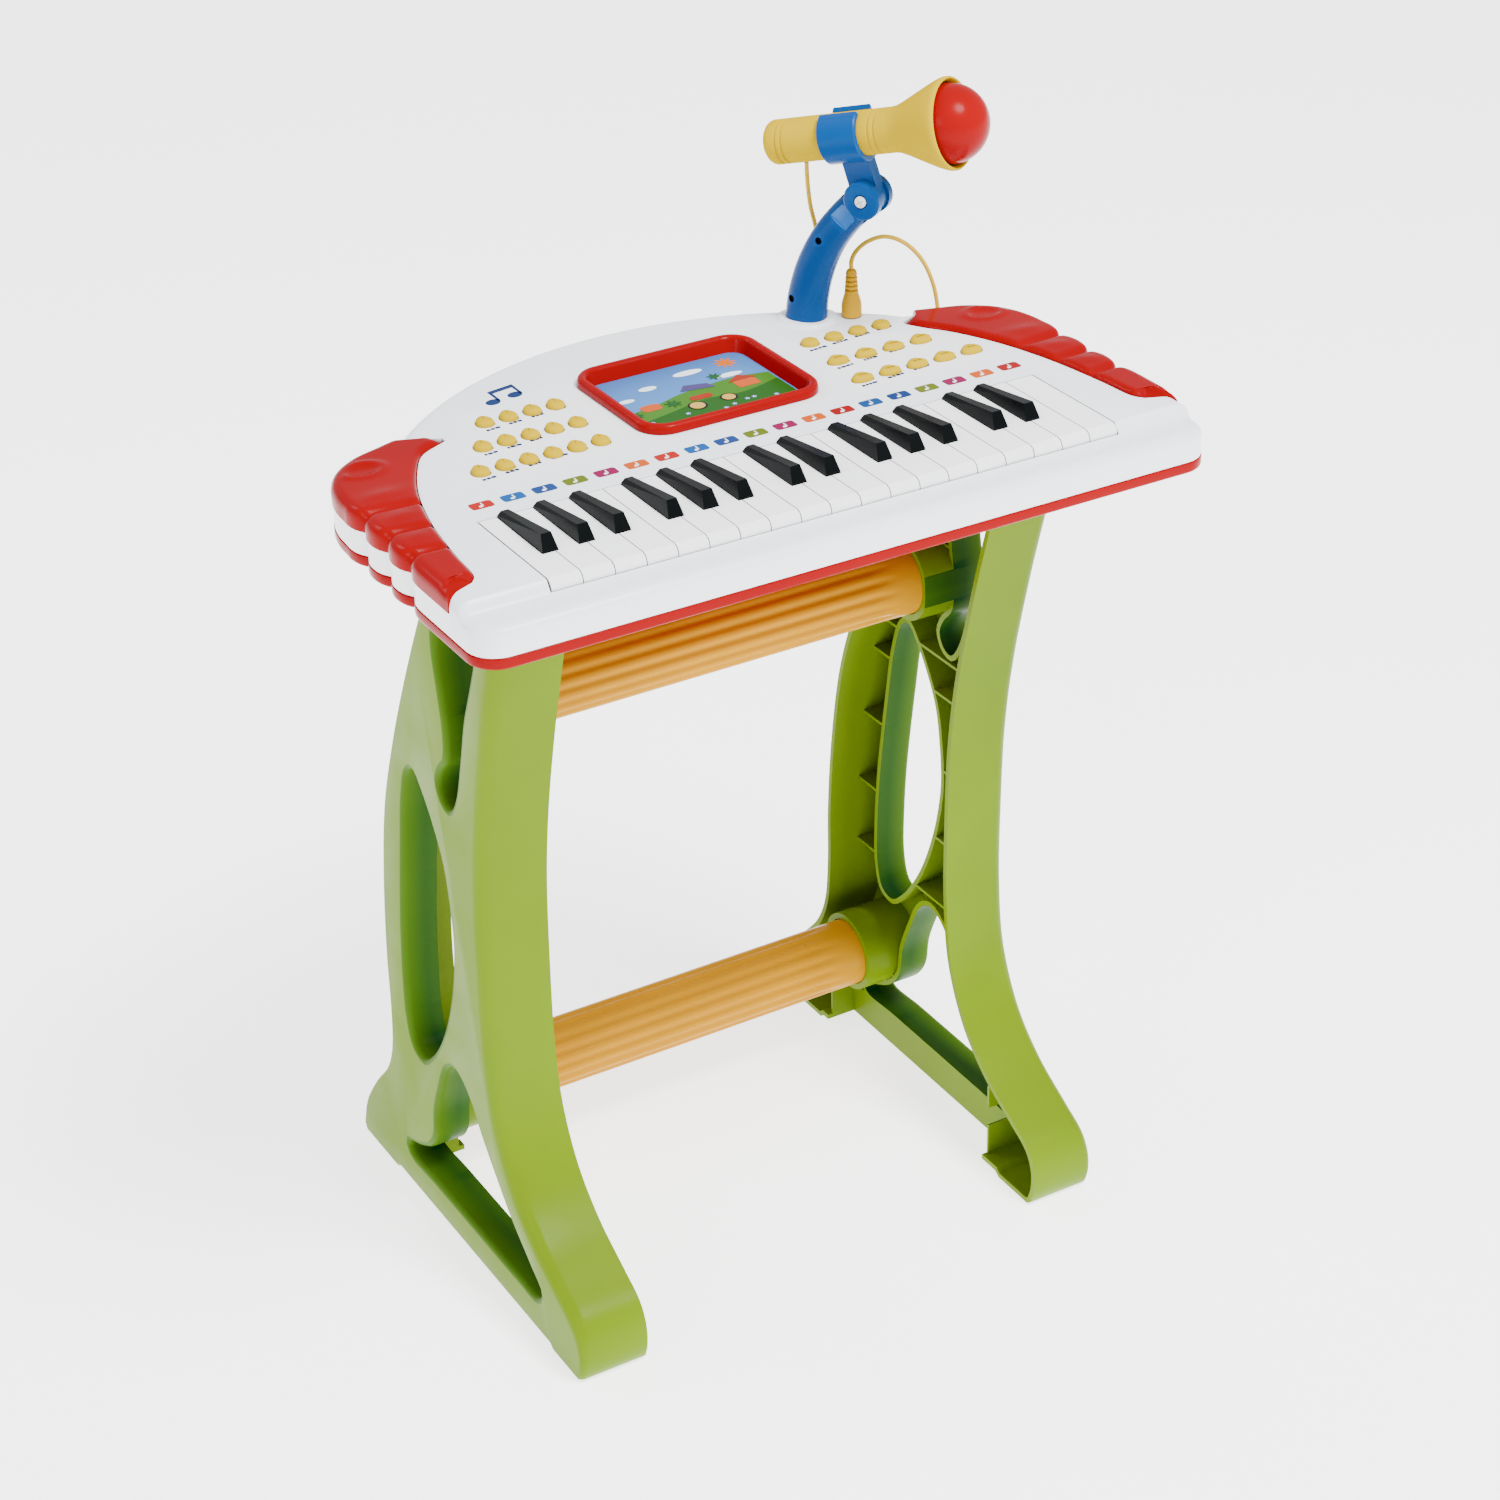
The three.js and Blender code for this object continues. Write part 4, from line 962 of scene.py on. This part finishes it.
ARCH = [(14, 143), (4, 140), (-8, 129), (-17, 115), (-31, 97), (-54, 71), (-78, 50), (-91, 38), (-86, 30),
        (-60, 29), (0, 29), (60, 29), (95, 29), (98, 35), (80, 43), (63, 53), (52, 68), (48, 90), (38, 114),
        (26, 136)]
TENONS = ((-88, -70), (-46, -28))  # the two tenons that enter the case, each from y to y
WEB_INNER = 167  # inner side of the ribs and of the holes' walls
FRAME_WALL = 3.6
FRONT_POINTS, BACK_POINTS = 120, 90
BAR_FROM, BAR_TO, BAR_TOP = -84, 112, 27.2
TUBES = ("upper_cross_tube", "lower_cross_tube")


def flared(name, loop, x0, x1, radius):
    """A through cutter whose outer edge is opened out to round the hole's rim."""
    rings = [[Vector((x0, p.x, p.y)) for p in loop]]
    for inset, height in rounding(radius):
        rings.append([Vector((x1 - radius + height, p.x, p.y)) for p in grown(loop, inset)])
    rings.append([Vector((x1 + 3, p.x, p.y)) for p in grown(loop, radius)])
    return loft(name, rings)


def leg_blank(outline, x0, x1, radii):
    """The frame's outer shape; each point of the outline has its own rounding towards the outer side."""
    normals = [q - p for p, q in zip(outline, grown(outline, 1))]
    rings = [[Vector((x0, p.x, p.y)) for p in outline]]
    for k in range(9):
        up, inset = math.sin(math.pi / 2 * k / 8), 1 - math.cos(math.pi / 2 * k / 8)
        rings.append([Vector((x1 - r * (1 - up), p.x - n.x * r * inset, p.y - n.y * r * inset))
                      for p, n, r in zip(outline, normals, radii)])
    return painted(loft("right_leg", rings), GREEN)


def add_leg_frames():
    x0, x1 = FRAME_LOW.x, FRAME_HIGH.x
    flat = [Vector(p) for p in FRAME_FLOOR]
    front = resample(spline(FRAME_FRONT, steps=8), FRONT_POINTS)
    back = resample(spline(FRAME_BACK, steps=8), BACK_POINTS)
    outline = front + flat + back
    radii = [9.0 - 5.5 * smooth((k - 108) / 11) for k in range(FRONT_POINTS)]
    radii += [3.0] * (len(flat) + len(back))
    leg = leg_blank(outline, x0, x1, radii)

    holes = [resample(spline(shape, closed=True, steps=8) + [Vector(shape[0])], 121)[:-1]
             for shape in (NOTCH, SLOT, ARCH)]
    pocket = side_plate("pocket", grown(outline, -FRAME_WALL), x0 - 1, x1 - 4.2)
    keep = [side_plate("keep_wall", grown(loop, 3.5), WEB_INNER, x1 + 5) for loop in holes]
    ends = [middle(name) for name in TUBES]
    for end in ends:
        keep.append(rod("keep_socket", x0 - 5, x1 + 5, 28, Vector((0, end.y, end.z)), X_AXIS, UP, 48))
    for z in (60, 150, 200, 255, 310, 337, 420, 470):
        keep.append(box("keep_rib", (WEB_INNER, -250, z), (x1 + 5, 250, z + 2)))
    for y in (BAR_FROM - 1.7, BAR_TO - 0.3):
        keep.append(box("keep_upright", (x0 + 4, y, -5), (x1 + 5, y + 2, 61)))
    keep.append(box("keep_bar", (WEB_INNER, BAR_FROM, -6), (x1 + 5, BAR_TO, BAR_TOP)))
    for thing in keep:
        combine(pocket, [thing])
    # The holes' walls and the pocket get the green with painted shade.
    for loop in holes:
        cut(leg, flared("hole", loop, x0 - 5, x1, 4), GREEN_HOLE_SHADED)
    cut(leg, pocket, GREEN_POCKET_SHADED)
    bar_side = box("bar_side", (x0 - 5, BAR_FROM, -5), (WEB_INNER, BAR_TO, BAR_TOP + 16))
    cut(leg, bar_side, GREEN)
    # The bores get the green with painted shade too.
    for end in ends:
        bore = rod("bore", x0 - 5, 185, 23.8, Vector((0, end.y, end.z)), X_AXIS, UP, 64)
        cut(leg, bore, GREEN_POCKET_SHADED)
    for y0, y1 in TENONS:
        tenon = box("tenon", ((x0 + x1) / 2 - 11.7, y0 + 0.3, 520),
                    ((x0 + x1) / 2 + 11.7, y1 - 0.3, FRAME_HIGH.z))
        join(leg, tenon, GREEN)

    mirror = leg.data.copy()
    mirror.transform(Matrix.Scale(-1, 4, X_AXIS))
    mirror.flip_normals()
    other = placed("left_leg", mirror)
    finished(leg, GREEN, stands_for=["right_leg_frame"], angle=34)
    finished(other, GREEN, stands_for=["left_leg_frame"], angle=34)


FLUTES, TUBE_BORE = 16, 19


def add_cross_tube(node):
    """A hollow tube fluted along its length, plain where it enters the stand."""
    at = middle(node)
    end = TUBE_HIGH.x
    stations = [0, 60, 104, 110, 114, 118, 122, 126, 130, 134, 150, end - 1, end]
    stations = [-x for x in reversed(stations[1:])] + stations
    rings = []
    sides = 160
    for x in stations:
        depth = 1.5 * (1 - smooth((abs(x) - 108) / 24))
        trim = 0.6 if abs(x) == end else 0
        ring = []
        for a in turns(sides):
            r = 23.2 - trim - depth * (0.5 - 0.5 * math.cos(FLUTES * a)) ** 1.6
            ring.append(Vector((x, at.y + r * math.cos(a), at.z + r * math.sin(a))))
        rings.append(ring)
    for x in (end, -end):
        rings.append([Vector((x, at.y + TUBE_BORE * math.cos(a), at.z + TUBE_BORE * math.sin(a)))
                      for a in turns(sides)])
    fluted = loft(node + "_fluted", rings, joined=True)
    finished(fluted, AMBER, stands_for=[node], angle=45)


# ---------- microphone and its arm
def arm_slab(name, loop, low, high):
    """A solid over a loop of (s, z) in the arm's own plane, reaching across from low to high."""
    return loft(name, [[arm_point(p.x, across, p.y) for p in loop] for across in (low, high)])


def on_hinge():
    """Where solids turned about the microphone's hinge start from: origin, axis and side."""
    return arm_point(HINGE_REACH, 0, HINGE.z), ACROSS, UP


def pin_hole():
    """The cutter that clears the screw in the arm and in the clip."""
    return rod("pin_hole", -30, 30, PIN_HOLE, *on_hinge(), 24)


def add_arm():
    """A bent tapering arm, split lengthways, with a forked knuckle, screw holes and a flat facet."""
    centre = spline([(0, DECK + 2.3), (1.6, 572), (7, 592), (16, 611), (28.5, 628), (43, 642.5)], steps=9)
    rings = []
    for i, p in enumerate(centre):
        t = i / (len(centre) - 1)
        ahead = (centre[min(i + 1, len(centre) - 1)] - centre[max(i - 1, 0)]).normalized()
        if i == 0:
            ahead = Vector((0, 1))
        out = Vector((ahead.y, -ahead.x))
        deep, wide = 13.1 - 2.3 * smooth(t * 1.2), 11 - 0.8 * smooth(t * 1.5 - 0.4)
        ring = []
        for a in turns(40):
            c, s = math.cos(a), math.sin(a)
            c = math.copysign(abs(c) ** 0.86, c)
            s = math.copysign(abs(s) ** 0.86, s)
            q = p + out * deep * c
            ring.append(arm_point(q.x, wide * s, q.y))
        rings.append(ring)
    arm = painted(loft("arm", rings), BLUE)
    side = [(-11, 0), (-11, 10.2), (-10.6, 11.2), (-9.8, 12), (9.8, 12), (10.6, 11.2), (11, 10.2), (11, 0)]
    join(arm, lathe("knuckle", side, *on_hinge(), 48), BLUE)
    peg = [(545, 0), (545, 9.4), (545.6, 10), (DECK + 4, 10), (DECK + 4, 0)]
    join(arm, lathe("peg", peg, ARM_FOOT, UP, X_AXIS, 40), BLUE)
    slot_cut = rod("slot", -KNUCKLE_SLOT, KNUCKLE_SLOT, 16.5, *on_hinge(), 48)
    seat = rod("screw_seat", -30, -9.9, 4.6, *on_hinge(), 32)
    for tool in (slot_cut, pin_hole(), seat):
        cut(arm, tool, BLUE)
    # The screw holes are lined with painted shade in darker blue.
    for s, z in ((14, 613), (-5.5, 572)):
        profile = [(-40, 0), (-40, 2.3), (-6.5, 2.3), (-5.8, 0)]
        hole = lathe("screw_hole", profile, arm_point(s, 0, z), ACROSS, UP, 24)
        cut(arm, hole, BLUE_RECESS_SHADED)
    # The facet is painted a paler blue as its highlight.
    moon = [Vector((p.x, p.y)) for p in arc(29, 629.5, 9, -65, 165, 16)]
    cut(arm, arm_slab("facet", moon, -30, -8.8), BLUE_FACET_LIT)
    other = placed("arm_far_half", arm.data.copy())
    sheet = [Vector(p) for p in ((-100, 500), (200, 500), (200, 700), (-100, 700))]
    combine(arm, [painted(arm_slab("near_side", sheet, -60, -0.15), BLUE)], "INTERSECT")
    combine(other, [painted(arm_slab("far_side", sheet, 0.15, 60), BLUE)], "INTERSECT")
    arm.name = "arm_near_half"
    finished(arm, BLUE, stands_for=["arm_left_half"], angle=35, rim=0.25)
    finished(other, BLUE, stands_for=["arm_right_half"], angle=35, rim=0.25)

    profile = [(-12.6, 0), (-12.6, 2.2), (-12.1, 3.2), (-11.3, 3.6), (-10.2, 3.6), (-10.2, 2), (11.3, 2),
               (11.3, 3.4), (12.2, 3.2), (12.6, 2.4), (12.6, 0)]
    screw = lathe("pivot_screw", profile, *on_hinge(), 32)
    for turn in (0.6, 0.6 + math.pi / 2):
        a, b = math.cos(turn), math.sin(turn)
        loop = [Vector((HINGE_REACH + x * a - y * b, HINGE.z + x * b + y * a))
                for x, y in ((-2.3, -0.4), (2.3, -0.4), (2.3, 0.4), (-2.3, 0.4))]
        combine(screw, [arm_slab("cross_cut", loop, -14, -11.6)])
    finished(screw, STEEL, stands_for=["hinge_screw"], angle=35)


def on_mic(t, angle, radius):
    """A point round the microphone: t along it, angle from its far side upwards."""
    return MIC_REAR + MIC_AXIS * t + (ACROSS * math.cos(angle) + MIC_UP * math.sin(angle)) * radius


def add_mic_clip():
    """An open band round the barrel, with a neck and a lug that turns on the screw."""
    low, high, inner, outer = 41, 67, 14.05, 17
    rings = []
    for k in range(73):
        degrees = -245 + (50 + 245) * k / 72
        flare = 1.6 * smooth((degrees - 38) / 12)
        a = math.radians(degrees)
        section = [(low, inner), (low, outer - 0.7), (low + 0.7, outer), (high - 0.7, outer),
                   (high, outer - 0.7), (high, inner), (high - 0.4, inner), (low + 0.4, inner)]
        rings.append([on_mic(t, a, r + flare) for t, r in section])
    band = painted(loft("mic_clip_band", rings), BLUE)

    def below(t, lift):
        p = on_mic(t, math.pi / 2, lift) - ARM_FOOT
        return Vector((p.dot(FORWARD), p.z))

    neck = [Vector((HINGE_REACH - 9.6, HINGE.z + 3)), Vector((HINGE_REACH + 9.6, HINGE.z + 3)),
            below(low + 25, -15.5), below(low + 7, -15.5)]
    profile = [(-4.5, 0), (-4.5, 10), (-4, 10.5), (4, 10.5), (4.5, 10), (4.5, 0)]
    lug = lathe("lug", profile, *on_hinge(), 40)
    join(band, arm_slab("neck", neck, -4.5, 4.5), BLUE)
    join(band, lug, BLUE)
    cut(band, pin_hole(), BLUE)
    finished(band, BLUE, body=MICROPHONE, stands_for=["mic_clip"], angle=35, rim=0.3)


def add_microphone():
    r = MIC_RADIUS
    profile = [(0, 0), (0, 9), (0.6, 10.8), (1.8, 12.3), (3.6, 13.4), (5, r)]
    for at in (9, 13, 73, 77):
        profile += [(at, r), (at + 0.5, r - 0.7), (at + 1.3, r - 0.7), (at + 1.8, r)]
    profile += [(86, r), (90, 14.3), (95, 16.2), (100, 18.4), (105, 20.7), (111, 23.4), (116, 25.6),
                (120, 27.1), (122.6, 27.8), (124.6, 27.8), (125.5, 27.3)]
    profile += [(125.5, 26.4), (124.6, 25.5), (123, 25), (116, 24), (110, 21.3), (105, 17.3), (101, 11.2),
                (98.3, 4), (98, 0)]  # the cup that holds the ball
    barrel = lathe("microphone_barrel", profile, MIC_REAR, MIC_AXIS, MIC_UP, 64)
    finished(barrel, YELLOW, body=MICROPHONE, stands_for=["mic_barrel"], angle=38)
    angles = [math.pi * k / 36 for k in range(37)]
    ball = [(BALL_AT - BALL_RADIUS * math.cos(a), BALL_RADIUS * math.sin(a)) for a in angles]
    ball[0], ball[-1] = (BALL_AT - BALL_RADIUS, 0), (BALL_AT + BALL_RADIUS, 0)
    head = lathe("microphone_ball", ball, MIC_REAR, MIC_AXIS, MIC_UP, 64)
    finished(head, BALL, body=MICROPHONE, stands_for=["mic_head"], angle=40)


# ---------- everything in place
add_top_shell()
add_base_shell()
add_grip("right_grip", GRIP_TIPS[1], False)
add_grip("left_grip", GRIP_TIPS[-1], True)
add_bezel()
add_picture()
add_deck_prints()
for name, row in BUTTON_ROWS.items():
    add_strip(name, row)
for name in frame["nodes"]:
    if name.startswith("white_key"):
        dressed(name, KEY_WHITE, 0.55)
    elif name.startswith("black_key"):
        dressed(name, KEY_BLACK, 0.7)
add_leg_frames()
add_cross_tube("upper_cross_tube")
add_cross_tube("lower_cross_tube")
add_arm()
add_mic_clip()
add_microphone()
dressed("battery_cover", RED, 0.3)
dressed("jack_socket", BLACK, 0.2)
dressed("speaker", BLACK)
dressed("main_board", BOARD)

bpy.context.view_layer.update()
